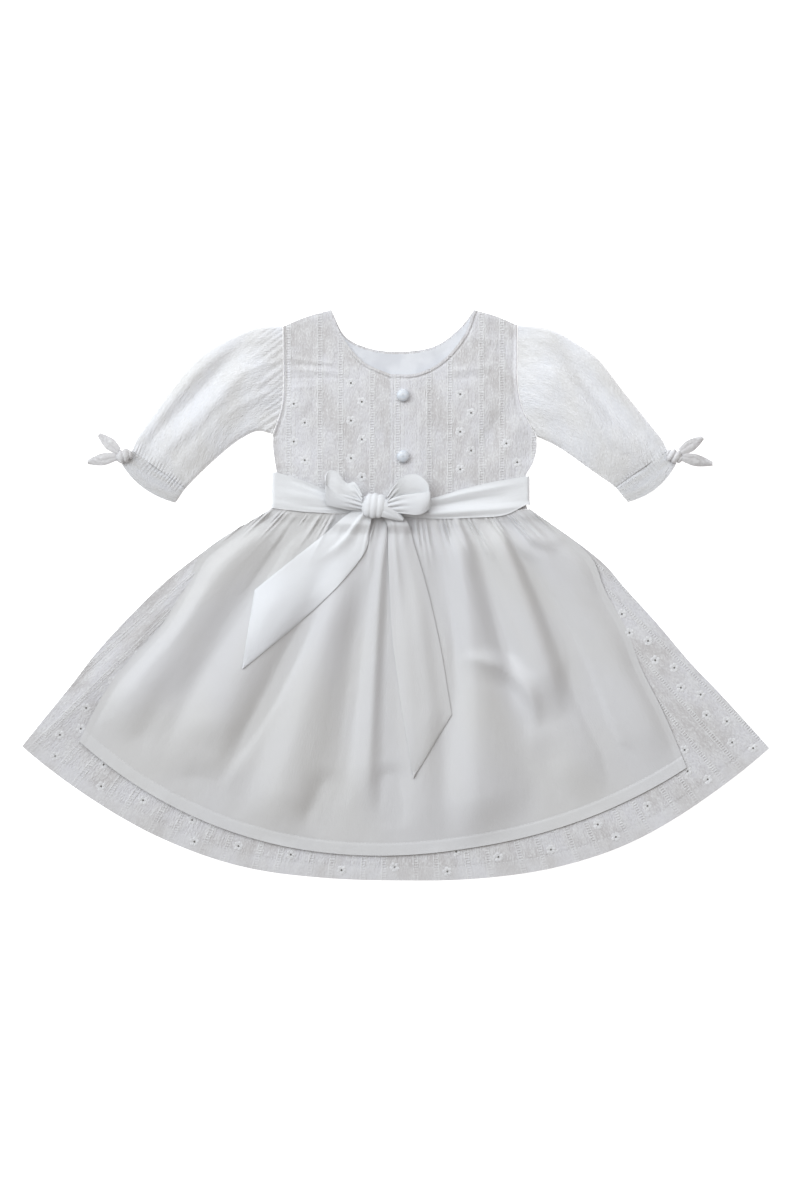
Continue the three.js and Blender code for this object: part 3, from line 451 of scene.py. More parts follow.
# Creases of the apron and skirt by bearing and reach, of the others by place. A crease is as
# wide as left on one side and as right on the other, as seen when it runs down the garment.
CREASE = "x0 y0 x1 y1 left right height bow"
POLAR_CREASE = "bearing0 reach0 bearing1 reach1 left right height bow"
APRON_CREASE_ROWS = table(
    POLAR_CREASE,
    (-46, 0.2, -42, 0.33, 0.01, 0.01, 0.001, 0),
    (-37, 0.145, -36, 0.24, 0.006, 0.006, -0.0028, 0),
    (-35.3, 0.21, -34, 0.37, 0.014, 0.01, -0.0016, 0.004),
    (-20, 0.2, -25, 0.4, 0.014, 0.007, -0.004, -0.005),
    (-29, 0.36, -25.5, 0.43, 0.02, 0.02, -0.0036, 0.003),
    (-38, 0.34, -36, 0.42, 0.012, 0.01, -0.0016, 0),
    (-10, 0.18, -8, 0.38, 0.014, 0.006, -0.0024, 0),
    (-10.4, 0.36, -12, 0.412, 0.012, 0.014, -0.0032, 0),
    (-6.6, 0.15, -4.4, 0.37, 0.006, 0.0035, 0.0012, 0),
    (-12.6, 0.124, -9, 0.178, 0.0018, 0.003, 0.0009, 0),
    (-1.8, 0.35, -1, 0.4, 0.011, 0.012, -0.004, 0),
    (13, 0.15, 10.9, 0.285, 0.01, 0.005, -0.0032, -0.002),
    (10.9, 0.27, 5, 0.395, 0.014, 0.01, -0.002, 0),
    (18.6, 0.14, 8, 0.41, 0.01, 0.02, 0.0024, 0.004),
    (15.2, 0.256, 22.9, 0.325, 0.008, 0.009, 0.0055, -0.0125),
    (15, 0.275, 20.5, 0.34, 0.008, 0.008, -0.0013, -0.0125),
    (34.5, 0.16, 26.5, 0.318, 0.012, 0.005, 0.0014, 0),
    (25.5, 0.15, 21.5, 0.3, 0.01, 0.008, -0.004, 0),
    (28.6, 0.145, 24.5, 0.27, 0.007, 0.006, 0.0014, 0.002),
    (36.3, 0.2, 30, 0.385, 0.012, 0.005, -0.003, -0.008),
    (22, 0.35, 20, 0.42, 0.018, 0.014, -0.0024, 0),
    (31.6, 0.3, 30.4, 0.4, 0.012, 0.007, -0.0038, 0),
    (30.8, 0.385, 29.6, 0.425, 0.013, 0.012, -0.0034, 0),
    (35.5, 0.152, 38, 0.2, 0.004, 0.004, 0.0018, 0.001),
    (38.5, 0.155, 40.5, 0.205, 0.003, 0.004, -0.0014, 0),
    (41, 0.16, 43, 0.205, 0.004, 0.004, 0.0016, 0.002),
    (40, 0.178, 47, 0.205, 0.006, 0.005, 0.0012, 0.002),
    (44.5, 0.165, 45.5, 0.215, 0.003, 0.004, -0.001, 0),
    (30, 0.15, 28.5, 0.18, 0.003, 0.003, 0.0011, 0),
)
SKIRT_CREASE_ROWS = table(
    POLAR_CREASE,
    (-49, 0.2, -45.6, 0.47, 0.006, 0.012, 0.0019, 0),
    (-46.6, 0.24, -42.4, 0.45, 0.008, 0.008, -0.0009, 0),
    (-30, 0.43, -30.5, 0.475, 0.012, 0.012, 0.0008, 0),
    (-14, 0.43, -14, 0.465, 0.014, 0.01, 0.0008, 0),
    (5, 0.42, 5, 0.46, 0.012, 0.014, 0.0008, 0),
    (25, 0.43, 25, 0.475, 0.012, 0.012, 0.0008, 0),
    (44, 0.26, 42, 0.46, 0.012, 0.014, 0.0014, 0),
    (47, 0.24, 45, 0.44, 0.006, 0.008, -0.0008, 0),
)
BODICE_CREASES = table(
    CREASE,
    (-0.103, 0.218, -0.05, 0.212, 0.0026, 0.0022, 0.0006, 0.001),
    (-0.103, 0.212, -0.056, 0.209, 0.002, 0.0022, -0.0005, 0),
    (-0.102, 0.206, -0.046, 0.203, 0.0024, 0.002, 0.0006, -0.001),
    (-0.1, 0.199, -0.054, 0.199, 0.002, 0.002, -0.0004, 0),
    (-0.1, 0.19, -0.076, 0.191, 0.004, 0.002, 0.0007, 0),
    (-0.1, 0.176, -0.078, 0.174, 0.008, 0.012, 0.0013, 0),
    (-0.104, 0.155, -0.08, 0.13, 0.006, 0.006, -0.0008, 0.004),
    (-0.052, 0.17, -0.056, 0.12, 0.01, 0.008, 0.0007, 0.003),
    (-0.03, 0.195, -0.016, 0.15, 0.008, 0.008, 0.0006, 0),
    (0.1026, 0.1688, 0.0722, 0.1219, 0.007, 0.012, -0.0015, 0.004),
    (0.115, 0.165, 0.098, 0.115, 0.01, 0.012, 0.0014, 0),
    (0.045, 0.205, 0.09, 0.211, 0.003, 0.003, 0.0007, 0.001),
    (0.05, 0.198, 0.088, 0.201, 0.003, 0.003, -0.0006, 0),
    (0.06, 0.24, 0.1, 0.232, 0.004, 0.003, 0.0007, 0.001),
    (0.03, 0.18, 0.036, 0.13, 0.01, 0.01, 0.0007, 0),
)
SLEEVE_CREASES = table(
    CREASE,
    (0.01, 0.05, 0.012, 0.15, 0.006, 0.008, 0.0008, 0),
    (0.024, 0.02, 0.03, 0.1, 0.008, 0.007, -0.0009, 0.002),
    (0.03, 0.008, 0.036, 0.04, 0.003, 0.003, 0.0006, 0),
    (0.05, 0.01, 0.056, 0.045, 0.003, 0.004, -0.0006, 0.001),
    (0.061, 0.02, 0.064, 0.15, 0.012, 0.008, 0.0014, 0.003),
    (0.036, 0.11, 0.03, 0.16, 0.007, 0.007, -0.0006, 0),
)
LINING_CREASES = table(
    CREASE,
    (-0.035, 0.225, 0.02, 0.212, 0.006, 0.006, 0.0003, 0.002),
    (0.01, 0.218, 0.05, 0.226, 0.005, 0.005, -0.0003, 0),
)
SASH_CREASES = {
    "left": table(
        CREASE,
        (0.03, 0.006, 0.094, 0.014, 0.006, 0.003, -0.0014, 0.001),
        (0.02, 0.026, 0.09, 0.022, 0.006, 0.008, 0.0013, 0.001),
        (0.03, 0.04, 0.095, 0.036, 0.004, 0.004, -0.0009, 0),
    ),
    "right": table(
        CREASE,
        (0.02, 0.009, 0.095, 0.006, 0.004, 0.004, 0.0009, 0),
        (0.03, 0.021, 0.095, 0.018, 0.004, 0.007, -0.001, 0),
        (0.02, 0.034, 0.08, 0.036, 0.006, 0.006, 0.0006, 0),
    ),
}
TAIL_CREASES = {
    "left": table(
        CREASE,
        (0.022, 0.0, 0.017, 0.07, 0.006, 0.0025, 0.0024, 0),
        (0.012, 0.06, 0.02, 0.17, 0.008, 0.01, 0.0006, 0),
    ),
    "right": table(
        CREASE,
        (0.012, 0.0, 0.01, 0.1, 0.004, 0.004, 0.0012, 0),
        (0.026, 0.02, 0.024, 0.16, 0.008, 0.006, 0.0008, 0.002),
    ),
}

# The stage: a camera high above the gown on the photo's own frame, its lights, and a wide floor.
CAMERA_PLACE = (0.0032, -0.0051, 2.5)
PICTURE_LONG = 1.104
SENSOR_WIDTH = 36
SKY_COLOUR = (1.0, 0.945, 0.885, 1)
SKY_STRENGTH = 0.33
KEY_SUN = {"strength": 1.75, "colour": (0.89, 0.95, 1.0), "angle": 48, "bearing": -58, "elevation": 38}
WINDOW_POWER = 6.4
WINDOW_COLOUR = (0.94, 0.97, 1.0)
WINDOW_SIZE = 1.2
WINDOW_PLACE = (0.05, 0.75, 0.95)
WINDOW_TILT = -38
FLOOR_COLOUR = (0.95, 0.95, 0.95, 1)
FLOOR_ROUGHNESS = 0.9
FLOOR_GLOW = 0.8
FLOOR_HALF = 3.0
FLOOR_DROP = 0.0002


def ramp(value, low, high):
    """0 below low, 1 above high, and smooth between."""
    t = np.clip((np.asarray(value, dtype=float) - low) / (high - low), 0, 1)
    return t * t * (3 - 2 * t)


def mix(start, end, share):
    """Share 0 gives start, and 1 gives end."""
    return start + (end - start) * share


def bell(distance, width):
    """1 at no distance, and falling away softly over the width."""
    return np.exp(-((distance / width) ** 2))


def curve(t, start, leave, end, arrive):
    """A smooth curve from start to end, with its slope at either end."""
    return (
        start * (2 * t**3 - 3 * t**2 + 1)
        + leave * (t**3 - 2 * t**2 + t)
        + end * (3 * t**2 - 2 * t**3)
        + arrive * (t**3 - t**2)
    )


def column(rows, key, value, name):
    """One column of a table read at values of its key column, on a smooth curve."""
    keys = rows[key]
    values = rows[name]
    last = len(keys) - 1
    before = np.clip(np.arange(last + 1) - 1, 0, last)
    after = np.clip(np.arange(last + 1) + 1, 0, last)
    slopes = (values[after] - values[before]) / (keys[after] - keys[before])
    row = np.searchsorted(keys[1:-1], value, side="left")
    span = keys[row + 1] - keys[row]
    t = np.clip((value - keys[row]) / span, 0, 1)
    return curve(t, values[row], slopes[row] * span, values[row + 1], slopes[row + 1] * span)


def section(rows, share):
    """A row of a section table at a share of the way through it, on a smooth curve."""
    count = len(next(iter(rows.values())))
    numbered = {**rows, "n": np.arange(count, dtype=float)}
    at = np.asarray(share, dtype=float) * (count - 1)
    return {name: column(numbered, "n", at, name) for name in rows}


def line(rows):
    """A smooth line through the rows of an outline, as a function of a share of its length."""
    knots = np.stack([rows["x"], rows["y"]], axis=1)
    first = 2 * knots[0] - knots[1]
    last = 2 * knots[-1] - knots[-2]
    ends = np.concatenate([[first], knots, [last]])
    spacing = np.sqrt(np.linalg.norm(np.diff(ends, axis=0), axis=1))
    steps = np.linspace(0, 1, 60, endpoint=False)[:, None]
    path = []
    for n in range(len(knots) - 1):
        p0, p1, p2, p3 = ends[n : n + 4]
        d0, d1, d2 = spacing[n : n + 3]
        leave = ((p1 - p0) / d0 - (p2 - p0) / (d0 + d1) + (p2 - p1) / d1) * d1
        arrive = ((p2 - p1) / d1 - (p3 - p1) / (d1 + d2) + (p3 - p2) / d2) * d1
        path.append(curve(steps, p1, leave, p2, arrive))
    path = np.concatenate([*path, knots[-1:]])
    run = np.concatenate([[0], np.cumsum(np.linalg.norm(np.diff(path, axis=0), axis=1))])
    run /= run[-1]

    def spot(share):
        share = np.clip(share, 0, 1)
        return np.stack([np.interp(share, run, path[:, 0]), np.interp(share, run, path[:, 1])], axis=-1)

    return spot


def joined(first, second, meet):
    """Two lines run one after the other as one, meeting at a share of the whole."""

    def spot(share):
        share = np.asarray(share, dtype=float)
        early = (share < meet)[..., None]
        return np.where(early, first(share / meet), second((share - meet) / (1 - meet)))

    return spot


def straight(start, end):
    """A straight line between two places, as a function of a share of its length."""
    start = np.asarray(start)
    end = np.asarray(end)

    def spot(share):
        return mix(start, end, np.asarray(share, dtype=float)[..., None])

    return spot


def inside(top, bottom, left, right):
    """A spot inside an outline of four lines: top and bottom run across, the sides down."""

    def spot(across, down):
        a = across[..., None]
        d = down[..., None]
        corners = mix(
            mix(top(0.0 * across), top(0.0 * across + 1), a),
            mix(bottom(0.0 * across), bottom(0.0 * across + 1), a),
            d,
        )
        return mix(top(across), bottom(across), d) + mix(left(down), right(down), a) - corners

    return spot


def away(x, y, path):
    """Distance of each spot from a line given as places along it."""
    least = np.full(np.shape(x), 1.0)
    for start, end in zip(path[:-1], path[1:]):
        run = end - start
        t = ((x - start[0]) * run[0] + (y - start[1]) * run[1]) / max(run @ run, 1e-12)
        t = np.clip(t, 0, 1)
        least = np.minimum(least, np.hypot(x - start[0] - run[0] * t, y - start[1] - run[1] * t))
    return least


def shares(*stops):
    """Shares from 0 to 1 in stretches, each given as its start, end and number of steps."""
    parts = [np.linspace(start, end, steps, endpoint=False) for start, end, steps in stops]
    return np.concatenate([*parts, [stops[-1][1]]])


def grid(acrosses, downs):
    """The two shares at each point of a grid of rows and columns."""
    return np.meshgrid(acrosses, downs)


def even_grid(columns, rows):
    """The same with so many even steps each way."""
    return grid(shares((0, 1, columns)), shares((0, 1, rows)))


def creased(rows, x, y):
    """Height of listed creases. Each runs from x0, y0 to x1, y1, bowed to one side, and is a soft ridge,
    or a trough where its height is below nothing."""
    rise = np.zeros(np.shape(x))
    for x0, y0, x1, y1, left, right, height, bow in zip(*rows.values()):
        run_x = x1 - x0
        run_y = y1 - y0
        length = math.hypot(run_x, run_y)
        t = ((x - x0) * run_x + (y - y0) * run_y) / length**2
        aside = ((x - x0) * run_y - (y - y0) * run_x) / length - bow * 4 * t * (1 - t)
        ends = ramp(t, -0.15, 0.3) * (1 - ramp(t, 0.7, 1.15))
        rise = rise + height * ends * bell(aside, np.where(aside > 0, left, right))
    return rise


def polar(x, y):
    """Bearing in degrees and reach of a spot on the skirt."""
    across = x - FOLD_X
    along = FOLD_Y - y
    return np.degrees(np.arctan2(across, along)), np.hypot(across, along)


def from_polar(bearing, reach):
    """The place at a bearing and reach."""
    turn = np.radians(bearing)
    return FOLD_X + reach * np.sin(turn), FOLD_Y - reach * np.cos(turn)


def seam_y(x):
    """Height of the waist seam up the garment."""
    return WAIST_MIDDLE_Y + WAIST_SIDE_RISE * ((x - WAIST_MIDDLE_X) / WAIST_HALF_WIDTH) ** 2


def waist_reach(bearing):
    """Reach of the waist seam at a bearing, found by closing in on it."""
    slope = np.tan(np.radians(bearing))
    y = np.full(np.shape(slope), WAIST_MIDDLE_Y)
    for _ in range(5):
        y = seam_y(FOLD_X + (FOLD_Y - y) * slope)
    return (FOLD_Y - y) / np.cos(np.radians(bearing))


def skirt_spot(edges, hem, across, down):
    """Place on a skirt panel, from its left edge to its right, and from waist to hem."""
    left = column(edges, "down", down, "left")
    right = column(edges, "down", down, "right")
    even = mix(left, right, across)
    width = mix(np.tan(np.radians(left)), np.tan(np.radians(right)), across)
    bearing = mix(np.degrees(np.arctan(width)), even, ramp(down, 0, 0.5))
    reach = mix(waist_reach(bearing), column(hem, "bearing", bearing, "reach"), down)
    x, y = from_polar(bearing, reach)
    return x, y, bearing, reach


def over_sash(y):
    """Rise of the back panels over the sash, where it passes under them."""
    below = ramp(y, SASH_BOTTOM - 0.016, SASH_BOTTOM - 0.005)
    above = 1 - ramp(y, SASH_TOP + 0.005, SASH_TOP + 0.016)
    return BAND_ROOM * below * above


def skirt_under(x, y):
    """Underside of the eyelet skirt front."""
    bearing, reach = polar(x, y)
    inner = ramp(48 - np.abs(bearing), 0, 16)
    loft = 0.0014 * inner * ramp(reach, 0.11, 0.19)
    return over_sash(y) + WALL + SEAM_GAP + 0.0002 + loft


def gather_swell(below):
    """Greatest height of the apron's gathers, at a distance below the waist seam."""
    return mix(GATHER_HEAD, GATHER_SWELL, ramp(below, 0.001, 0.01))


def gather_rise(bearing, reach):
    """Height of the apron's gathers at the waist."""
    below = reach - waist_reach(bearing)
    turns = np.tan(np.radians(bearing)) / math.tan(math.radians(47)) * (GATHERS / 2)
    uneven = turns + 0.36 * np.sin(1.7 * turns + 0.8) + 0.25 * np.sin(0.63 * turns + 2.1)
    length = 0.044 + 0.014 * np.sin(2.3 * turns + 0.5) + 0.012 * np.sin(0.9 * turns + 4)
    strength = 0.66 + 0.34 * np.sin(2.9 * turns + 1.3) + 0.45 * bell(bearing - 17, 13)
    fade = 1 - ramp(below, 0.004, length)
    return gather_swell(below) * fade * strength * (1 + np.cos(2 * np.pi * uneven)) * 0.5


def fold_rise(bearing, reach):
    """Height of the apron's large folds."""
    rise = np.zeros(np.shape(bearing))
    for top, low, bend, start, end, height, left, right in zip(*FOLDS.values()):
        along = np.clip((reach - start) / (end - start), 0, 1)
        aside = bearing - mix(top, low, along) - bend * 4 * along * (1 - along)
        width = np.where(aside < 0, left, right)
        ends = ramp(reach, start - 0.034, start + 0.034) * (1 - ramp(reach, end - 0.048, end + 0.002))
        hill = np.cos(np.pi / 2 * np.clip(aside / width, -1, 1)) ** 2
        rise = rise + height * ends * hill
    return rise * ramp(reach - waist_reach(bearing), 0, 0.034)


def apron_rest(x, y):
    """The surface that the apron lies on."""
    return skirt_under(x, y) + WALL + LAY_GAP


def bodice_under(x, y):
    """Underside of the bodice front: sewn down at its sides, and proud of the back between."""
    aside = np.abs(x - 0.006)
    crown = np.maximum(0, 1 - (aside / 0.114) ** 3)
    neck_ease = 1 - 0.7 * ramp(y, 0.165, 0.235)
    waist_ease = 0.45 + 0.55 * ramp(y, 0.084, 0.118)
    lined = (LINING_WALL + SEAM_GAP) * (1 - ramp(aside, 0.078, 0.098)) * ramp(y, 0.138, 0.164)
    puff = BODICE_PUFF * crown * neck_ease * waist_ease
    return WALL + LAY_GAP + np.hypot(over_sash(y) + lined, puff)


def back_top(x, y):
    """Upper face of the back panels, which lie flat and pass over the sash."""
    return over_sash(y) + WALL


def lap_lift(x):
    """The right front is lifted where it laps over the left one."""
    inner = LAP_EDGE_X + LAP_WIDTH + 0.002
    return (WALL + LAY_GAP) * (1 - ramp(x, inner, inner + 0.016))


def sash_under(x, y):
    """Underside of the sash, over the bodice front and the gathered head of the apron."""
    bearing, reach = polar(x, y)
    above = y - seam_y(x)
    bodice = bodice_under(x, y) + lap_lift(x)
    head = apron_rest(x, y) + gather_swell(-above) + fold_rise(bearing, reach)
    return WALL + LAY_GAP + np.maximum(bodice, mix(bodice, head, ramp(-above, -0.009, -0.002)))


class Value:
    """A number socket that takes part in Python expressions. Each operation adds a Math node."""

    def __init__(self, shader, socket):
        self.shader = shader
        self.socket = socket

    def math(self, operation, *others):
        settings = {"operation": operation}
        numbers = [self, *others]
        return self.shader.node("ShaderNodeMath", settings, dict(enumerate(numbers)))

    def __add__(self, other):
        return self.math("ADD", other)

    def __sub__(self, other):
        return self.math("SUBTRACT", other)

    def __rsub__(self, other):
        return (self * -1) + other

    def __mul__(self, other):
        return self.math("MULTIPLY", other)

    __radd__ = __add__
    __rmul__ = __mul__

    def __truediv__(self, other):
        return self.math("DIVIDE", other)

    def __pow__(self, other):
        return self.math("POWER", other)

    def sine(self):
        return self.math("SINE")

    def size(self):
        return self.math("ABSOLUTE")

    def repeat(self, period):
        """Distance into each repeat."""
        return self.math("FLOORED_MODULO", period)

    def between(self, low, high):
        """0 at low, 1 at high, smooth between, and held beyond."""
        t = ((self - low) / (high - low)).math("MINIMUM", 1.0).math("MAXIMUM", 0.0)
        return t * t * (3 - 2 * t)


class Shader:
    """The nodes of one material."""

    def __init__(self, name):
        self.material = bpy.data.materials.new(name)
        self.material.use_nodes = True
        self.tree = self.material.node_tree
        self.tree.nodes.clear()

    def node(self, kind, settings=None, inputs=None, output=0):
        """A node of any kind, with its settings made first and then its sockets filled."""
        made = self.tree.nodes.new(kind)
        for name, setting in (settings or {}).items():
            if name == "stops":
                for stop, (place, colour) in zip(ramp_stops(made, len(setting)), setting):
                    stop.position = place
                    stop.color = (*colour, 1)
            else:
                setattr(made, name, setting)
        for name, given in (inputs or {}).items():
            socket = made.inputs[name]
            if isinstance(given, Value):
                self.tree.links.new(given.socket, socket)
            else:
                socket.default_value = given
        return Value(self, made.outputs[output]) if made.outputs else made

    def blend(self, share, first, second):
        """A colour between two colours."""
        sockets = {0: share, 6: colour_of(first), 7: colour_of(second)}
        return self.node("ShaderNodeMix", {"data_type": "RGBA"}, sockets, output=2)

    def grain(self):
        """Distances across and along the cloth's grain, in metres."""
        spot = self.node("ShaderNodeUVMap", {"uv_map": "UVMap"})
        across = self.node("ShaderNodeSeparateXYZ", inputs={0: spot})
        along = Value(self, across.socket.node.outputs[1])
        return spot, across, along

    def noise(self, place, scale, detail=3.0, stretch=(1, 1, 1)):
        """Soft noise at so many spots a metre, from 0 to 1."""
        mapped = self.node("ShaderNodeMapping", inputs={"Vector": place, "Scale": stretch})
        sockets = {"Vector": mapped, "Scale": scale, "Detail": detail}
        return self.node("ShaderNodeTexNoise", inputs=sockets)

    def finish(self, colour, height, relief, **surface):
        """Ends the material in a Principled shader, with a bump of a height in metres."""
        bump = self.node("ShaderNodeBump", inputs={"Height": height, "Distance": relief})
        sockets = {"Base Color": colour, "Normal": bump}
        for name, setting in surface.items():
            sockets[name.replace("_", " ").title().replace("Ior", "IOR")] = setting
        shader = self.node("ShaderNodeBsdfPrincipled", inputs=sockets)
        self.node("ShaderNodeOutputMaterial", inputs={"Surface": shader})
        return self.material


def ramp_stops(node, count):
    """The stops of a colour ramp, as many as asked for."""
    stops = node.color_ramp.elements
    while len(stops) < count:
        stops.new(1)
    return stops


def colour_of(value):
    """A colour with its opacity, where a plain one is given."""
    return value if isinstance(value, Value) else (*value[:3], 1)


def weave(across, along, thread):
    """Height of a plain weave, from 0 to 1."""
    turn = math.pi / thread
    return ((across * turn).sine() * (along * turn).sine()) * 0.5 + 0.5


def sateen_shader(name, first, second, hem_light=0.0):
    """Smooth cotton sateen with a soft sheen and a faint thread along the length. Its hem,
    a doubled cloth, is lighter."""
    cloth = Shader(name)
    spot, across, along = cloth.grain()
    thread = weave(across, along, SATEEN_THREAD)
    slubs = cloth.noise(spot, 260.0, 2.0, (3.5, 0.5, 1))
    rumple = cloth.noise(spot, 26.0, 3.0, (1.6, 0.8, 1))
    patches = cloth.noise(spot, 9.0, 2.0, (1, 0.7, 1))
    height = thread * 0.1 + slubs * 0.16 + rumple * 0.9
    plain = cloth.blend(patches.between(0.35, 0.65), first, second)
    hem = (1 - along.size().between(APRON_HEM_DEPTH - 0.002, APRON_HEM_DEPTH + 0.003)) * hem_light
    return cloth.finish(
        cloth.blend(hem, plain, bpy.context.scene.gown_colours.ribbon),
        height,
        0.0009,
        roughness=0.37,
        sheen_weight=0.2,
        sheen_roughness=0.35,
        specular_ior_level=0.42,
    )


def shaded_sateen_material(colours):
    """The apron's cloth: the same sateen as the sash's, painted darker, a shaded copy of it."""
    return sateen_shader("sateen", colours.sateen, colours.sateen_warm, 0.28)


def lit_sateen_material(colours):
    """The sash's cloth: the same sateen as the apron's, painted lighter, a lit copy of it."""
    return sateen_shader("ribbon", colours.ribbon, colours.ribbon_cool)


def eyelet_shader(name, first, second, bright, striped):
    """Crinkled eyelet cotton, with ladder stripes woven in along its length. Its hem is smoother and
    lighter. Its crinkles carry a painted highlight on their crests and painted shade in their hollows."""
    cloth = Shader(name)
    spot, across, along = cloth.grain()
    place = across.repeat(REPEAT)
    rungs = ((along * (2 * math.pi / RUNG_STEP)).sine() * 0.5 + 0.5) ** 2
    ladder = 0.0
    rails = 0.0
    for stripe in LADDER_PLACES:
        off = (place - stripe).size()
        inner = 1 - off.between(LADDER_WIDTH / 2 - 0.0006, LADDER_WIDTH / 2)
        rail = 1 - (off - LADDER_WIDTH / 2).size().between(0.0003, 0.0009)
        ladder = ladder + inner * rungs
        rails = rails + rail
    hem = 1 - along.size().between(SKIRT_HEM_DEPTH - 0.002, SKIRT_HEM_DEPTH + 0.002)
    plain = 1 - hem * 0.5
    ladder = ladder * striped
    rails = rails * striped
    thread = weave(across, along, EYELET_THREAD)
    crepe = cloth.noise(spot, 520.0, 3.0, (1.5, 0.7, 1))
    streaks = cloth.noise(spot, 240.0, 2.0, (2.2, 0.35, 1))
    crinkle = cloth.noise(spot, 85.0, 3.0, (1.7, 0.7, 1))
    patches = cloth.noise(spot, 24.0, 4.0, (1, 0.8, 1))
    bumps = crepe * 0.7 + streaks * 0.5 + crinkle * 0.9
    height = thread * 0.12 + (bumps + ladder * 0.3 + rails * 0.2) * plain
    tint = cloth.blend(patches.between(0.38, 0.62), second, first)
    # Painted highlight: lighter where the crepe, streak and crinkle bumps are high.
    fine = crepe.between(0.5, 0.68) * 0.6 + streaks.between(0.52, 0.7) * 0.3
    crest_highlights = fine + crinkle.between(0.42, 0.66) * 0.45
    # Share towards the bright colour: the painted highlight on the crests, the lighter ladder threads and
    # the lighter hem.
    shade = ((crest_highlights + ladder * 0.3 + rails * 0.5) * plain + hem * 0.2).math("MINIMUM", 1.0)
    # Painted shade: darker towards the warm colour in the crepe's low spots.
    dimple_shade = (1 - crepe.between(0.32, 0.5)) * plain * 0.5
    colour = cloth.blend(dimple_shade, cloth.blend(shade, tint, bright), second)
    return cloth.finish(
        colour,
        height,
        0.001,
        roughness=0.82,
        sheen_weight=0.12,
        sheen_roughness=0.5,
        specular_ior_level=0.25,
    )


def eyelet_material(colours):
    """The cotton of the bodice and the skirt, with another layer below it: the shaded copy of the sleeves'
    cotton, painted darker.
    """
    return eyelet_shader("eyelet_cotton", colours.eyelet, colours.eyelet_warm_and_shade, colours.thread, 1.0)


def lit_sleeve_material(colours):
    """The same cotton single, painted lighter for the light that comes through it: a lit copy of the
    bodice's cotton.
    """
    return eyelet_shader("lit_sleeve_cotton", colours.sleeve, colours.sleeve_warm_and_shade, colours.petal, 0.0)


def lining_material(colours):
    """Plain smooth lining, slightly blue."""
    cloth = Shader("lining_cotton")
    spot, across, along = cloth.grain()
    thread = weave(across, along, LINING_THREAD)
    rumple = cloth.noise(spot, 38.0, 3.0)
    colour = cloth.blend(rumple.between(0.35, 0.65), colours.lining, colours.ribbon_cool)
    return cloth.finish(colour, thread * 0.12 + rumple * 0.6, 0.0006, roughness=0.75)


def thread_shader(name, first, second):
    """Shiny thread, in strands along its length."""
    cloth = Shader(name)
    _, _, along = cloth.grain()
    strands = (along * (2 * math.pi / STRAND)).sine() * 0.5 + 0.5
    colour = cloth.blend(strands * 0.3, first, second)
    return cloth.finish(colour, strands, 0.00012, roughness=0.5, sheen_weight=0.2)


def petal_material(colours):
    """White embroidery thread."""
    return thread_shader("embroidery_thread", colours.petal, colours.thread)


def thread_material(colours):
    """Sewing thread in the cloth's own colour."""
    return thread_shader("sewing_thread", colours.thread, colours.eyelet)


def hole_material(colours):
    """What shows through an eyelet: the cloth below, in shade."""
    cloth = Shader("eyelet_hole")
    spot, _, _ = cloth.grain()
    fuzz = cloth.noise(spot, 900.0, 2.0)
    colour = cloth.blend(fuzz, colours.hole, colours.hole_light)
    return cloth.finish(colour, fuzz, 0.0002, roughness=0.95)


def pearl_material(colours):
    """Pearly button, with cooler swirls."""
    shell = Shader("pearl")
    spot, _, _ = shell.grain()
    swirl = shell.noise(spot, 240.0, 3.0, (1, 2.2, 1))
    colour = shell.blend(swirl.between(0.35, 0.65), colours.pearl, colours.pearl_cool)
    return shell.finish(
        colour,
        swirl,
        0.00008,
        roughness=0.22,
        coat_weight=0.5,
        coat_roughness=0.12,
        specular_ior_level=0.5,
    )


MATERIALS = {
    "sateen": (shaded_sateen_material, "plain_cotton"),
    "ribbon": (lit_sateen_material, "plain_cotton"),
    "eyelet": (eyelet_material, "eyelet_cotton"),
    "sleeve": (lit_sleeve_material, "eyelet_cotton"),
    "petal": (petal_material, "eyelet_cotton"),
    "lining": (lining_material, "lining_cotton"),
    "thread": (thread_material, "eyelet_cotton"),
    "white_thread": (thread_material, "plain_cotton"),
    "hole": (hole_material, "eyelet_cotton"),
    "pearl": (pearl_material, "pearl_button"),
}
finished = {}


def dress(piece, finish):
    """Gives a piece its material, and lets it ride on the gown's one body."""
    make, slot = MATERIALS[finish]
    if make not in finished:
        finished[make] = make(bpy.context.scene.gown_colours)
    piece.data.materials.append(finished[make])
    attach(piece, "root")
    return piece


def stored(name, places, faces, corner_uvs, sharp=50):
    """A piece made from places, faces and a UV pair at each corner of each face."""
    mesh = bpy.data.meshes.new(name)
    mesh.from_pydata(places.reshape(-1, 3).tolist(), [], faces.tolist())
    layer = mesh.uv_layers.new(name="UVMap")
    layer.data.foreach_set("uv", np.asarray(corner_uvs, dtype=np.float32).ravel())
    mesh.shade_smooth()
    mesh.set_sharp_from_angle(angle=math.radians(sharp))
    mesh.validate()
    piece = bpy.data.objects.new(name, mesh)
    bpy.context.collection.objects.link(piece)
    return piece


def grid_normals(points, ring):
    """Unit normals of a grid of points, on the side that faces up when rows run down the
    garment and columns run to the right."""
    if ring:
        along = np.roll(points, -1, axis=1) - np.roll(points, 1, axis=1)
    else:
        along = np.gradient(points, axis=1)
    down = np.gradient(points, axis=0)
    normal = np.cross(down, along)
    return normal / np.maximum(np.linalg.norm(normal, axis=2, keepdims=True), 1e-12)


def flipped(points, uv):
    """A grid and its uv with the columns run the other way, so that its faces look outward."""
    return points[:, ::-1], uv[:, ::-1]


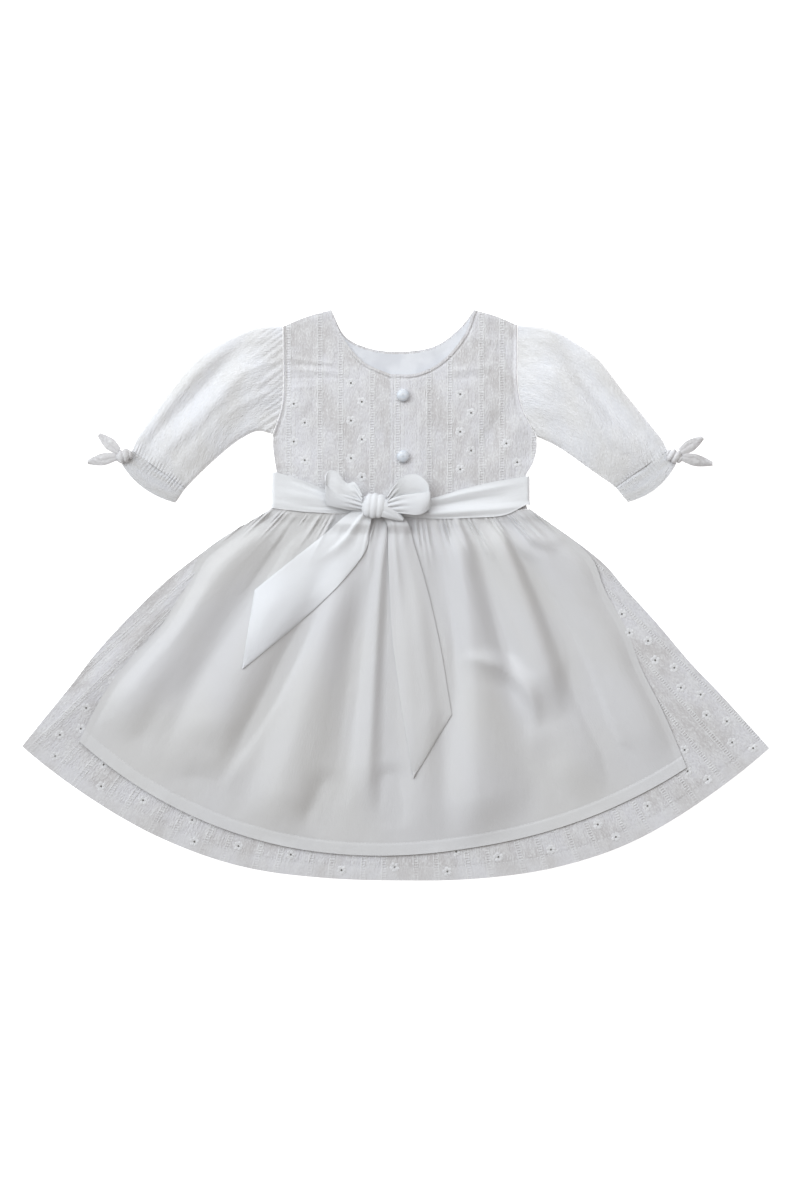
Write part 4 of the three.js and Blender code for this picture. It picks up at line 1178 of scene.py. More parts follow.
def cloth(name, points, uv, finish, thick=None, ring=False):
    """A thin shell of cloth under a grid of points on its upper face. A ring's columns close
    on themselves, and its uv has one column more."""
    thick = thick or bpy.context.scene.gown_sizes.cloth
    under = points - grid_normals(points, ring) * thick
    rows, columns = points.shape[:2]
    number = np.arange(rows * columns).reshape(rows, columns)
    left = number if ring else number[:, :-1]
    right = np.roll(number, -1, axis=1) if ring else number[:, 1:]
    uv_left = uv[:, :-1]
    uv_right = uv[:, 1:]
    below = rows * columns

    def quads(*corners):
        return np.stack(corners, axis=-1).reshape(-1, len(corners))

    def pairs(*corners):
        return np.stack(corners, axis=-2).reshape(-1, 2)

    faces = [
        quads(left[:-1], left[1:], right[1:], right[:-1]),
        quads(right[:-1], right[1:], left[1:], left[:-1]) + below,
        quads(left[0], right[0], right[0] + below, left[0] + below),
        quads(right[-1], left[-1], left[-1] + below, right[-1] + below),
    ]
    uvs = [
        pairs(uv_left[:-1], uv_left[1:], uv_right[1:], uv_right[:-1]),
        pairs(uv_right[:-1], uv_right[1:], uv_left[1:], uv_left[:-1]),
        pairs(uv_left[0], uv_right[0], uv_right[0], uv_left[0]),
        pairs(uv_right[-1], uv_left[-1], uv_left[-1], uv_right[-1]),
    ]
    if not ring:
        first = number[:, 0]
        last = number[:, -1]
        faces += [
            quads(first[:-1], first[:-1] + below, first[1:] + below, first[1:]),
            quads(last[1:], last[1:] + below, last[:-1] + below, last[:-1]),
        ]
        uvs += [
            pairs(uv[:-1, 0], uv[:-1, 0], uv[1:, 0], uv[1:, 0]),
            pairs(uv[1:, -1], uv[1:, -1], uv[:-1, -1], uv[:-1, -1]),
        ]
    places = np.concatenate([points.reshape(-1, 3), under.reshape(-1, 3)])
    return dress(stored(name, places, np.concatenate(faces), np.concatenate(uvs)), finish)


def scattered(name, template, surface, spots, turns, finish):
    """Copies of a small shape laid on a surface. surface gives places from two distances, and
    the template's heights stand on it."""
    shape, faces, uv = template
    cosine = np.cos(turns)[:, None]
    sine = np.sin(turns)[:, None]
    u = spots[:, :1] + shape[:, 0] * cosine - shape[:, 1] * sine
    v = spots[:, 1:] + shape[:, 0] * sine + shape[:, 1] * cosine
    places = surface(u, v)
    places[..., 2] += shape[:, 2]
    copies = len(spots)
    numbers = np.concatenate([faces + n * len(shape) for n in range(copies)])
    corner_uvs = np.tile(uv[faces].reshape(-1, 2), (copies, 1))
    return dress(stored(name, places, numbers, corner_uvs), finish)


def bead(length, width, height, rings=4, sides=8):
    """A long low bead, as a stitch or a petal is: places, faces and uv."""
    turn = np.linspace(0, 2 * np.pi, sides, endpoint=False)
    along = -np.cos(np.linspace(0.12, 0.88, rings) * np.pi)
    girth = np.sqrt(1 - along**2)
    shape = np.stack(
        [
            np.repeat(along, sides) * length / 2,
            np.outer(girth, np.cos(turn)).ravel() * width / 2,
            np.outer(girth, np.sin(turn)).ravel() * height,
        ],
        axis=1,
    )
    number = np.arange(rings * sides).reshape(rings, sides)
    after = np.roll(number, -1, axis=1)
    faces = np.stack([number[:-1], number[1:], after[1:], after[:-1]], axis=-1).reshape(-1, 4)
    caps = [[0, k, k + 1, k + 2] for k in range(1, sides - 1, 2)]
    head = np.array(caps)
    tail = np.array(caps)[:, ::-1] + (rings - 1) * sides
    return shape, np.concatenate([faces, head, tail]), shape[:, :2] + 0.01


def merged(*shapes):
    """Several templates as one."""
    places = np.concatenate([shape for shape, _, _ in shapes])
    starts = np.cumsum([0] + [len(shape) for shape, _, _ in shapes[:-1]])
    faces = np.concatenate([faces + start for (_, faces, _), start in zip(shapes, starts)])
    uv = np.concatenate([uv for _, _, uv in shapes])
    return places, faces, uv


def moved(template, distance, turn):
    """A template pushed out along its own length and turned about the centre."""
    shape, faces, uv = template
    cosine = math.cos(turn)
    sine = math.sin(turn)
    x = shape[:, 0] + distance
    y = shape[:, 1]
    turned = np.stack([x * cosine - y * sine, x * sine + y * cosine], axis=1)
    return np.column_stack([turned, shape[:, 2]]), faces, uv


def flower_template(width):
    """Five satin-stitched petals and a corded ring round an eyelet."""
    petal = bead(width * 0.38, width * 0.42, PETAL_HEIGHT, rings=5)
    cord = bead(width * 0.14, width * 0.07, CORD_HEIGHT, rings=3, sides=6)
    petals = [moved(petal, width * 0.31, 2 * math.pi * n / 5) for n in range(5)]
    ring = []
    for n in range(10):
        shape, faces, uv = cord
        upright = (np.column_stack([-shape[:, 1], shape[:, 0], shape[:, 2]]), faces, uv)
        ring.append(moved(upright, width * 0.125, 2 * math.pi * n / 10))
    return merged(*petals, *ring)


def shade_disc_template(width, lift=0.00012, sides=12):
    """A flat round disc a little above the cloth, standing for the hole of an eyelet and painted with the
    shade seen through it.
    """
    turn = np.linspace(0, 2 * np.pi, sides, endpoint=False)
    rim = np.stack([np.cos(turn), np.sin(turn)], axis=1) * width / 2
    shape = np.concatenate([np.column_stack([rim, np.full(sides, lift)]), [[0, 0, lift]]])
    number = np.arange(sides)
    faces = np.stack([number, np.roll(number, -1), np.full(sides, sides)], axis=1)
    return shape, faces, shape[:, :2] + 0.01


def stitched(name, surface, path, finish="thread"):
    """A row of stitches along a path of distances on a surface."""
    sizes = bpy.context.scene.gown_sizes
    steps = np.linalg.norm(np.diff(path, axis=0), axis=1)
    run = np.concatenate([[0], np.cumsum(steps)])
    count = max(2, int(run[-1] / (sizes.stitch * STITCH_PITCH)))
    at = (np.arange(count) + 0.5) * run[-1] / count
    spots = np.stack([np.interp(at, run, path[:, 0]), np.interp(at, run, path[:, 1])], axis=1)
    ahead = np.stack([np.interp(at + 0.001, run, path[:, k]) for k in (0, 1)], axis=1)
    behind = np.stack([np.interp(at - 0.001, run, path[:, k]) for k in (0, 1)], axis=1)
    way = ahead - behind
    turns = np.arctan2(way[:, 1], way[:, 0])
    stitch = bead(sizes.stitch, STITCH_WIDTH, STITCH_HEIGHT)
    return scattered(name, stitch, surface, spots, turns, finish)


def on(top):
    """A surface whose distances are x and y, from its height."""

    def surface(x, y):
        return np.stack([x, y, top(x, y)], axis=-1)

    return surface


def edge_of(spot, across=None, down=None, count=80):
    """Places along one edge of a panel."""
    run = np.linspace(0, 1, count)
    a = np.full(count, float(across)) if across is not None else run
    d = np.full(count, float(down)) if down is not None else run
    return spot(a, d)[..., :2]


def raised(distance, width, height, soft=0.0007):
    """A turned and stitched edge: thick as far in as its width, with a soft dent at the seam."""
    flat = height * (1 - ramp(distance, width - soft, width + soft))
    return flat - height * 0.6 * bell(distance - width - 0.0008, 0.0009)


def polar_creases(rows):
    """Creases given by bearing and reach, as places."""
    x0, y0 = from_polar(rows["bearing0"], rows["reach0"])
    x1, y1 = from_polar(rows["bearing1"], rows["reach1"])
    ends = {"x0": x0, "y0": y0, "x1": x1, "y1": y1}
    return {**ends, **{name: rows[name] for name in ("left", "right", "height", "bow")}}


def above_hem(hem, bearing, reach):
    """Distance of a spot up from a hem."""
    return column(hem, "bearing", bearing, "reach") - reach


def skirt_uv(x, y, hem):
    """Distances across the grain of a skirt panel and up from its hem."""
    bearing, reach = polar(x, y)
    return np.stack([np.radians(bearing) * GRAIN_REACH, above_hem(hem, bearing, reach)], axis=-1)


def flat_uv(x, y, middle=0.0):
    """Distances across and along the grain of a panel of the bodice, from a row of flowers."""
    return np.stack([x - middle, y], axis=-1)


def slid(values, axis, steps):
    """Copies of a grid pushed along one axis by up to so many steps, its end rows held."""
    last = values.shape[axis] - 1
    places = np.arange(last + 1)
    return [np.take(values, np.clip(places + n, 0, last), axis=axis) for n in range(-steps, steps + 1)]


def draped(heights, across, down):
    """Heights of a cloth that lies over a bumpy grid and rests on its high places."""
    for axis, steps in ((1, across), (0, down)):
        heights = np.max(slid(heights, axis, steps), axis=0)
    for axis, steps in ((1, across), (0, down)):
        heights = np.mean(slid(heights, axis, steps), axis=0)
    return heights


def apron_spot_xy(across, down):
    """Place on the apron."""
    x, y, _, _ = skirt_spot(APRON_EDGES, APRON_HEM, across, down)
    return np.stack([x, y], axis=-1)


APRON_CREASES = polar_creases(APRON_CREASE_ROWS)
SKIRT_CREASES = polar_creases(SKIRT_CREASE_ROWS)
APRON_SIDES = [edge_of(apron_spot_xy, across=side) for side in (0, 1)]


def skirt_front_top(x, y):
    """Upper face of the eyelet skirt front."""
    bearing, reach = polar(x, y)
    hem = above_hem(SKIRT_HEM, bearing, reach)
    ripple = np.maximum(creased(SKIRT_CREASES, x, y), -0.0009)
    return skirt_under(x, y) + WALL + ripple + raised(hem, SKIRT_HEM_DEPTH, 0.0004)


def apron_top(x, y):
    """Upper face of the apron, with its gathers, folds, creases and hems."""
    bearing, reach = polar(x, y)
    hem = above_hem(APRON_HEM, bearing, reach)
    sides = np.minimum(away(x, y, APRON_SIDES[0]), away(x, y, APRON_SIDES[1]))
    edges = raised(hem, APRON_HEM_DEPTH, 0.00022, 0.0014) + raised(sides, APRON_SIDE_HEM, 0.0002)
    below = reach - waist_reach(bearing)
    inner = ramp(sides, 0, 0.03) * ramp(hem, 0.008, 0.07) * ramp(below, 0.01, 0.04)
    rise = gather_rise(bearing, reach) + fold_rise(bearing, reach) * ramp(sides, 0, 0.02)
    rise = rise + creased(APRON_CREASES, x, y) + APRON_LOFT * inner
    lift = mix(*APRON_HEM_LIFTS, ramp(bearing, -30, 30)) * (1 - ramp(hem, 0.004, 0.05))
    lift = lift + np.maximum(creased(SKIRT_CREASES, x, y), 0) * (1 - ramp(hem, 0.01, 0.05))
    drop = APRON_SIDE_DROP * (1 - ramp(sides, 0.002, 0.014)) * ramp(hem, 0, 0.03)
    floor = 0.0001
    softness = 0.0004
    soft = np.sqrt((rise - floor) ** 2 + softness**2)
    return apron_rest(x, y) + (rise + floor + soft) / 2 + lift - drop + edges + WALL


def bodice_side(side):
    """A side edge of the bodice: its armhole, then its side seam down to the waist."""
    armhole, seam, x = {
        "left": (LEFT_ARMHOLE, LEFT_SIDE, WAIST_LEFT_X),
        "right": (RIGHT_ARMHOLE, RIGHT_SIDE, WAIST_RIGHT_X),
    }[side]
    waist = {"x": np.append(seam["x"], x), "y": np.append(seam["y"], seam_y(x) + SEAM_GAP)}
    return joined(line(armhole), line(waist), ARMHOLE_SHARE)


def waist_line(from_x, to_x):
    """The waist seam as a line across, a little above the seam."""

    def spot(share):
        x = mix(from_x, to_x, np.asarray(share, dtype=float))
        return np.stack([x, seam_y(x) + SEAM_GAP], axis=-1)

    return spot


def reversed_line(path):
    """A line run the other way."""

    def spot(share):
        return path(1 - np.asarray(share, dtype=float))

    return spot


def left_front():
    """Outline of the left bodice front, the underlap."""
    neck = joined(line(FRONT_NECK_LEFT), line(FRONT_NECK_UNDERLAP), UNDERLAP_SHARE)
    under = LAP_EDGE_X + LAP_WIDTH
    centre = [under, seam_y(under) + SEAM_GAP]
    inner = joined(neck, straight(neck(np.array(1.0)), centre), NECK_SHARE)
    return inside(line(LEFT_SHOULDER), waist_line(WAIST_LEFT_X, under), bodice_side("left"), inner)


def right_front():
    """Outline of the right bodice front, the overlap."""
    neck = reversed_line(line(FRONT_NECK_RIGHT))
    centre = [LAP_EDGE_X, seam_y(LAP_EDGE_X) + SEAM_GAP]
    inner = joined(neck, straight(neck(np.array(1.0)), centre), NECK_SHARE)
    return inside(line(RIGHT_SHOULDER), waist_line(LAP_EDGE_X, WAIST_RIGHT_X), inner, bodice_side("right"))


def back_spot():
    """Outline of the back bodice."""
    left = line(LEFT_SHOULDER)
    neck = line(BACK_NECK)
    right = line(RIGHT_SHOULDER)
    both = 1 - SHOULDER_SHARE
    top = joined(joined(left, neck, SHOULDER_SHARE / both), right, both)
    return inside(top, waist_line(WAIST_LEFT_X, WAIST_RIGHT_X), bodice_side("left"), bodice_side("right"))


SHARE = np.linspace(0, 1, 60)
NECK_PATHS = {"left": line(FRONT_NECK_LEFT)(SHARE), "right": line(FRONT_NECK_RIGHT)(SHARE)}
ARMHOLE_PATHS = {"left": line(LEFT_ARMHOLE)(SHARE), "right": line(RIGHT_ARMHOLE)(SHARE)}
SHOULDER_PATHS = {"left": line(LEFT_SHOULDER)(SHARE), "right": line(RIGHT_SHOULDER)(SHARE)}


def bodice_top(side):
    """Upper face of one bodice front, with its neck rim, armhole seam and creases."""

    def top(x, y):
        rim = raised(away(x, y, NECK_PATHS[side]), NECK_RIM, 0.0007)
        armhole = away(x, y, ARMHOLE_PATHS[side])
        seam = 0.0011 * bell(armhole - 0.0008, 0.0012) - 0.0005 * bell(armhole - 0.0036, 0.0014)
        shoulder = 0.0006 * bell(away(x, y, SHOULDER_PATHS[side]) - 0.004, 0.004)
        base = bodice_under(x, y) + WALL + creased(BODICE_CREASES, x, y) + rim + seam + shoulder
        if side == "left":
            return base
        placket = 0.0004 * bell(x - LAP_EDGE_X - 0.001, 0.0012)
        return base + lap_lift(x) + placket

    return top


def sash_top(side):
    """Upper face of a front stretch of the sash, and the place of each share of it."""
    rows_top, rows_bottom, outward = {
        "left": (SASH_LEFT_TOP, SASH_LEFT_BOTTOM, -1),
        "right": (SASH_RIGHT_TOP, SASH_RIGHT_BOTTOM, 1),
    }[side]
    top = line(rows_top)
    bottom = line(rows_bottom)
    roll = 0.16

    def spot(across, down):
        flat = np.maximum(0, (across - roll) / (1 - roll))
        place = mix(top(flat), bottom(flat), down[..., None])
        x, y = place[..., 0], place[..., 1]
        rib = SASH_RIB * np.sin(2 * np.pi * down) ** 2 * ramp(flat, 0.05, 0.3)
        lift = sash_under(x, y) + WALL
        crease = creased(SASH_CREASES[side], across * SASH_LONG, down * SASH_DEEP)
        crease = crease - 0.0008 * ramp(down, 0.8, 1)
        turn = np.pi * (1 - np.minimum(across / roll, 1))
        radius = lift / 2
        rolled_x = x + outward * radius * np.sin(turn)
        rolled_z = radius + radius * np.cos(turn)
        over = across >= roll
        height = np.where(over, lift + rib, rolled_z) + crease * ramp(across, 0.05, 0.2)
        return np.stack([np.where(over, x, rolled_x), y, height], axis=-1)

    return spot


def tail_spot(rows, creases):
    """Upper face of a sash tail: it lies on the apron's folds, and near the knot on the sash."""
    places = np.arange(len(rows["lx"]))

    def spot(across, down):
        curved = section(rows, down)
        cut = {name: np.interp(down * places[-1], places, values) for name, values in rows.items()}
        at = {name: mix(curved[name], cut[name], ramp(down, 0.5, 0.66)) for name in rows}
        x = mix(at["lx"], at["rx"], across)
        y = mix(at["ly"], at["ry"], across)
        below = apron_top(x, y)
        apron = mix(below, draped(below, 4, 3), np.sin(np.pi * across) ** 0.4)
        band = sash_under(x, y) + SASH_RIB + WALL
        lift = mix(apron, np.maximum(apron, band), ramp(y, 0.054, 0.066))
        full = 0.0008 * np.sin(np.pi * across) ** 0.7
        crease = creased(creases, across * TAIL_WIDE, down * TAIL_LONG)
        gap = SEAM_GAP + bpy.context.scene.gown_sizes.cloth
        return np.stack([x, y, lift + gap + full + crease + at["up"]], axis=-1)

    return spot


def loop_spot(rows):
    """Middle of a bow loop: a ribbon on edge, leaning over."""

    def spot(across, down):
        at = section(rows, across)
        lean = np.radians(at["lean"])
        reach = (0.5 - down) * at["width"]
        curl = 0.0016 * np.sin(np.pi * down)
        root = 1 - ramp(across, 0, 0.22) + ramp(across, 0.78, 1)
        pleat = 0.0007 * root * np.sin(3 * 2 * np.pi * down)
        return np.stack(
            [
                at["x"] + curl * 0.3,
                at["y"] + reach * np.sin(lean) - (curl + pleat) * np.cos(lean),
                at["z"] + reach * np.cos(lean) + (curl + pleat) * np.sin(lean),
            ],
            axis=-1,
        )

    return spot


def tube(rows, relief, rise_more, shift, counts, downs):
    """Outer face of a flattened tube of cloth: over its top from the outer edge to the
    underarm edge, then back under it. Gives the places and the uv."""
    tops, unders = counts
    over = 0.5 - 0.5 * np.cos(np.pi * np.linspace(0, 1, tops, endpoint=False))
    back = 0.5 + 0.5 * np.cos(np.pi * np.linspace(0, 1, unders, endpoint=False))
    a = np.concatenate([mix(over, np.linspace(0, 1, tops, endpoint=False), 0.6), back])[None, :]
    is_over = (np.arange(tops + unders) < tops)[None, :]
    at = {name: value[:, None] for name, value in section(rows, downs).items()}
    share = downs[:, None]
    span = np.hypot(at["ux"] - at["ox"], at["uy"] - at["oy"])
    near = np.minimum(a, 1 - a) * span
    soft = 0.0026
    rounded = np.sqrt(np.clip(1 - (1 - np.minimum(near / soft, 1)) ** 2, 0, 1))
    crown = np.sin(np.pi * a) ** 0.55
    high = SLEEVE_EDGE + at["rise"] * crown * relief(a, share) + rise_more(a, share)
    z = WALL / 2 + SLEEVE_EDGE + rounded * np.where(is_over, high, -SLEEVE_EDGE)
    flat = np.stack([a * span, z], axis=-1)
    run = np.roll(flat, -1, axis=1) - np.roll(flat, 1, axis=1)
    out = np.stack([-run[..., 1], run[..., 0]], axis=-1)
    out /= np.maximum(np.linalg.norm(out, axis=-1, keepdims=True), 1e-9)
    flat = flat + out * WALL / 2
    moved_a = flat[..., 0] / span
    move = shift(np.clip(moved_a, 0, 1), share + 0 * moved_a)
    x = mix(at["ox"], at["ux"], moved_a) + move[..., 0]
    y = mix(at["oy"], at["uy"], moved_a) + move[..., 1]
    points = np.stack([x, y, flat[..., 1]], axis=-1)
    step = np.linalg.norm(np.diff(np.concatenate([points, points[:, :1]], axis=1), axis=1), axis=2)
    around = np.concatenate([np.zeros((len(downs), 1)), np.cumsum(step, axis=1)], axis=1)
    uv = np.stack([around, np.broadcast_to(0.2 + share * SLEEVE_LONG, around.shape)], axis=-1)
    return points, uv


def to_armhole(side, rows):
    """Moves the head of a sleeve onto its armhole, less and less down the sleeve."""
    outward = -1 if side == "left" else 1
    armhole = line(LEFT_ARMHOLE if side == "left" else RIGHT_ARMHOLE)

    def shift(a, share):
        edge = armhole(a)
        x = edge[..., 0] + outward * 2 * SEAM_GAP - mix(rows["ox"][0], rows["ux"][0], a)
        y = edge[..., 1] - mix(rows["oy"][0], rows["uy"][0], a)
        return np.stack([x, y], axis=-1) * (1 - ramp(share, 0, 0.4))[..., None]

    return shift


def bowed(rows):
    """Bows the free edge of a cuff outward."""
    way = np.array([rows["ox"][1] - rows["ox"][0], rows["oy"][1] - rows["oy"][0]])
    way /= np.linalg.norm(way)

    def shift(a, share):
        return way * (CUFF_BOW * share * 4 * a * (1 - a))[..., None]

    return shift


def plain_relief(a, share):
    """No folds: a cuff is as high all round."""
    return 1.0


def sleeve_relief(a, share):
    """Folds that fan out of the armhole gathers, and the long folds down the sleeve."""
    fan = (1 - ramp(share, 0.04, 0.3)) * (1 - ramp(a, 0.68, 0.86))
    slant = a - 1.25 * share
    uneven = SLEEVE_GATHERS * 1.25 * slant + 0.3 * np.sin(9 * slant + 1)
    gathers = 0.05 * fan * np.cos(2 * np.pi * uneven)
    middle = 0.38 + 0.15 * ramp(share, 0.2, 0.44) - 0.1 * ramp(share, 0.55, 0.8)
    crest = 0.42 * bell(a - middle, 0.12)
    valley = 0.72 * bell(a - middle + 0.24, 0.11)
    armpit = 0.5 * bell(a - 0.82, 0.14) * (1 - ramp(share, 0.2, 0.5))
    edge = 0.2 * bell(a - 0.1, 0.05)
    return 1 + gathers + edge - armpit + (crest - valley) * ramp(share, 0.06, 0.3)


def sleeve_detail(a, share):
    """Fine listed creases of a sleeve, and the puckers at its two seams."""
    fine = creased(SLEEVE_CREASES, a * SLEEVE_WIDE, share * SLEEVE_LONG)
    slant = a - 1.25 * share
    wander = 15 * slant + 0.5 * np.sin(11 * slant)
    at_cap = 0.0004 * (1 - ramp(share, 0.01, 0.2)) * np.sin(2 * np.pi * wander)
    return fine + at_cap + 0.0004 * ramp(share, 0.86, 0.97) * puckers(a)


def puckers(a):
    """The uneven puckers of the seam between sleeve and cuff, from -1 to 1."""
    return np.sin(2 * np.pi * 19 * a + 1.4 * np.sin(9 * a)) * (0.75 + 0.25 * np.sin(17 * a + 1))


def cuff_detail(a, share):
    """Puckers that run from the seam into the cuff, and its stitched hem."""
    seam = 0.0008 * (1 - ramp(share, 0.04, 0.16))
    return 0.0004 * (1 - ramp(share, 0.1, 0.7)) * puckers(a) + 0.0003 * ramp(share, 0.62, 0.7) - seam


def knot_mesh(long, wide, high, wraps, twist, depth, rows=44, columns=64):
    """A knot: a rounded lump with the cloth's turns wound round it as soft bands."""
    polar_angle = np.linspace(0.02, 0.98, rows) * np.pi
    around = np.linspace(0, 2 * np.pi, columns, endpoint=False)
    t, turn = np.meshgrid(polar_angle, around, indexing="ij")
    x = -np.cos(t)
    ring = np.sin(t) ** 0.65
    phase = wraps * np.pi * (x + 1) + twist * turn + 0.7 * np.sin(2.4 * x + 0.6)
    band = np.abs(np.cos(phase / 2)) ** 0.6
    girth = ring * (1 - depth * (1 - band))
    points = np.stack(
        [x * long, np.cos(turn) * wide * girth, np.sin(turn) * high / 2 * girth], axis=-1
    )
    uv_u = np.linspace(0, 2 * np.pi * wide, columns + 1)
    uv = np.stack(np.meshgrid(uv_u, x[:, 0] * long), axis=-1)
    return points, uv


def length_property(name, description, default):
    """A length that can be changed in the sidebar."""
    return FloatProperty(name=name, description=description, default=default, unit="LENGTH")


class GownSizes(PropertyGroup):
    """Sizes that a maker would change."""

    cloth: length_property("Cloth", "Thickness of the cloth", 0.0006)
    stitch: length_property("Stitch", "Length of one stitch", 0.0023)
    flower: length_property("Flower", "Width of an embroidered flower", 0.0094)
    hole: length_property("Eyelet", "Width of the hole in a flower", 0.0018)
    button_sides: IntProperty(
        name="Button sides", description="Flat sides round a button", default=48, min=12
    )


def colour_property(name, description, default):
    """A colour that can be changed in the sidebar."""
    return FloatVectorProperty(
        name=name, description=description, default=default, subtype="COLOR", min=0, max=1
    )


class GownColours(PropertyGroup):
    """Colours of the cloths, thread and buttons."""

    # The apron's sateen and the sash's ribbon are one cloth: their colours are a painted shaded copy and a
    # painted lit copy of it.
    sateen: colour_property("Sateen", "Apron", (0.708, 0.706, 0.724))
    sateen_warm: colour_property("Sateen, warm", "Its warmer patches", (0.705, 0.7, 0.7))
    ribbon: colour_property("Ribbon", "Sash and bow", (0.85, 0.86, 0.88))
    ribbon_cool: colour_property("Ribbon, cool", "Its cooler patches", (0.83, 0.845, 0.885))
    eyelet: colour_property("Eyelet cotton", "Bodice and skirt", (0.76, 0.757, 0.795))
    # The warm colours serve both the cloth's warmer patches and the painted shade in its crepe's hollows.
    eyelet_warm_and_shade: colour_property("Eyelet, warm", "Its warmer patches", (0.635, 0.617, 0.622))
    # The sleeve colours are a lit copy of the eyelet cotton's colours, painted light.
    sleeve: colour_property("Sleeve cotton", "Sleeves and cuffs", (0.85, 0.86, 0.9))
    sleeve_warm_and_shade: colour_property("Sleeve, warm", "Its warmer patches", (0.8, 0.795, 0.795))
    lining: colour_property("Lining", "Inside the neck", (0.73, 0.745, 0.79))
    thread: colour_property("Thread", "Ladder stripes and stitches", (0.83, 0.83, 0.84))
    petal: colour_property("Embroidery", "Petals", (0.9, 0.9, 0.92))
    hole: colour_property("Eyelet hole", "Shade in an eyelet", (0.14, 0.135, 0.125))
    hole_light: colour_property("Eyelet hole, light", "Cloth below an eyelet", (0.24, 0.23, 0.22))
    pearl: colour_property("Pearl", "Buttons", (0.74, 0.76, 0.80))
    pearl_cool: colour_property("Pearl, cool", "Their cooler swirls", (0.66, 0.71, 0.78))


def declare(cut, nodes):
    """Hides the solids that a cloth piece stands for. The cut it is given is not used."""
    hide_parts(*nodes)


def lamp(name, kind, strength, colour):
    """A light of a kind, in the scene."""
    data = bpy.data.lights.new(name, kind)
    data.energy = strength
    data.color = colour
    light = bpy.data.objects.new(name, data)
    bpy.context.collection.objects.link(light)
    return light


def sun(name, strength, colour, angle, bearing, elevation):
    """A soft far light. Its bearing is counted in degrees to the right of straight up."""
    light = lamp(name, "SUN", strength, colour)
    light.data.angle = math.radians(angle)
    light.rotation_euler = (math.radians(90 - elevation), 0, math.radians(180 - bearing))


class BuildStage(Operator):
    """Camera straight above, soft lights and a plain white floor"""

    bl_idname = "gown.stage"
    bl_label = "Stage"

    def execute(self, context):
        self.camera(context)
        self.sky(context)
        sun("key", **KEY_SUN)
        self.window()
        self.floor(context)
        return {"FINISHED"}

    def camera(self, context):
        """The camera looks straight down, and PICTURE_LONG is what its long side takes in."""
        data = bpy.data.cameras.new("camera")
        data.sensor_width = SENSOR_WIDTH
        data.lens = data.sensor_width * CAMERA_PLACE[2] / PICTURE_LONG
        camera = bpy.data.objects.new("camera", data)
        camera.location = CAMERA_PLACE
        context.collection.objects.link(camera)
        context.scene.camera = camera

    def sky(self, context):
        """A warm even sky."""
        world = bpy.data.worlds.new("studio")
        world.use_nodes = True
        sky = world.node_tree.nodes["Background"]
        sky.inputs["Color"].default_value = SKY_COLOUR
        sky.inputs["Strength"].default_value = SKY_STRENGTH
        context.scene.world = world
        context.scene.view_settings.view_transform = "Standard"

    def floor(self, context):
        """A wide white floor that glows, since the photo's ground is plain white."""
        paper = bpy.data.materials.new("paper")
        paper.use_nodes = True
        face = paper.node_tree.nodes["Principled BSDF"]
        face.inputs["Base Color"].default_value = FLOOR_COLOUR
        face.inputs["Roughness"].default_value = FLOOR_ROUGHNESS
        face.inputs["Emission Color"].default_value = (1, 1, 1, 1)
        face.inputs["Emission Strength"].default_value = FLOOR_GLOW
        signs = [(-1, -1), (1, -1), (1, 1), (-1, 1)]
        corners = [(x * FLOOR_HALF, y * FLOOR_HALF, -FLOOR_DROP) for x, y in signs]
        mesh = bpy.data.meshes.new("floor")
        mesh.from_pydata(corners, [], [(0, 1, 2, 3)])
        mesh.materials.append(paper)
        floor = bpy.data.objects.new("floor", mesh)
        context.collection.objects.link(floor)

    def window(self):
        """A broad soft light above the neck, so that the gown is brightest at its top."""
        light = lamp("window", "AREA", WINDOW_POWER, WINDOW_COLOUR)
        light.data.size = WINDOW_SIZE
        light.location = WINDOW_PLACE
        light.rotation_euler = (math.radians(WINDOW_TILT), 0, 0)


def skirt_panel(name, outline, top, finish, steps, thick=None):
    """A panel of the skirt on a surface, between its edges and from the waist to its hem."""
    edges, hem = outline
    across, down = grid(*steps)
    x, y, _, _ = skirt_spot(edges, hem, across, down)
    return cloth(name, on(top)(x, y), skirt_uv(x, y, hem), finish, thick)


class MakeSkirts(Operator):
    """The eyelet skirt, front and back"""

    bl_idname = "gown.skirts"
    bl_label = "Skirts"

    def execute(self, context):
        outline = (SKIRT_EDGES, SKIRT_HEM)
        fine = (
            shares((0, 0.04, 10), (0.04, 0.96, 170), (0.96, 1, 10)),
            shares((0, 0.9, 100), (0.9, 1, 30)),
        )
        front = skirt_panel("skirt_front_cloth", outline, skirt_front_top, "eyelet", fine)
        declare("skirt_front", ["skirt_front"])

        coarse = (shares((0, 1, 120)), shares((0, 0.9, 60), (0.9, 1, 16)))
        back = skirt_panel("skirt_back_cloth", outline, back_top, "eyelet", coarse, WALL)
        declare("skirt_back", ["skirt_back"])
        return {"FINISHED"}


class MakeApron(Operator):
    """The sateen apron skirt, gathered over the eyelet one"""

    bl_idname = "gown.apron"
    bl_label = "Apron"

    def execute(self, context):
        steps = (
            shares((0, 0.025, 10), (0.025, 0.975, 220), (0.975, 1, 10)),
            shares((0, 0.1, 26), (0.1, 0.95, 132), (0.95, 1, 22)),
        )
        apron = skirt_panel("apron_cloth", (APRON_EDGES, APRON_HEM), apron_top, "sateen", steps)
        declare("apron", ["apron"])
        return {"FINISHED"}


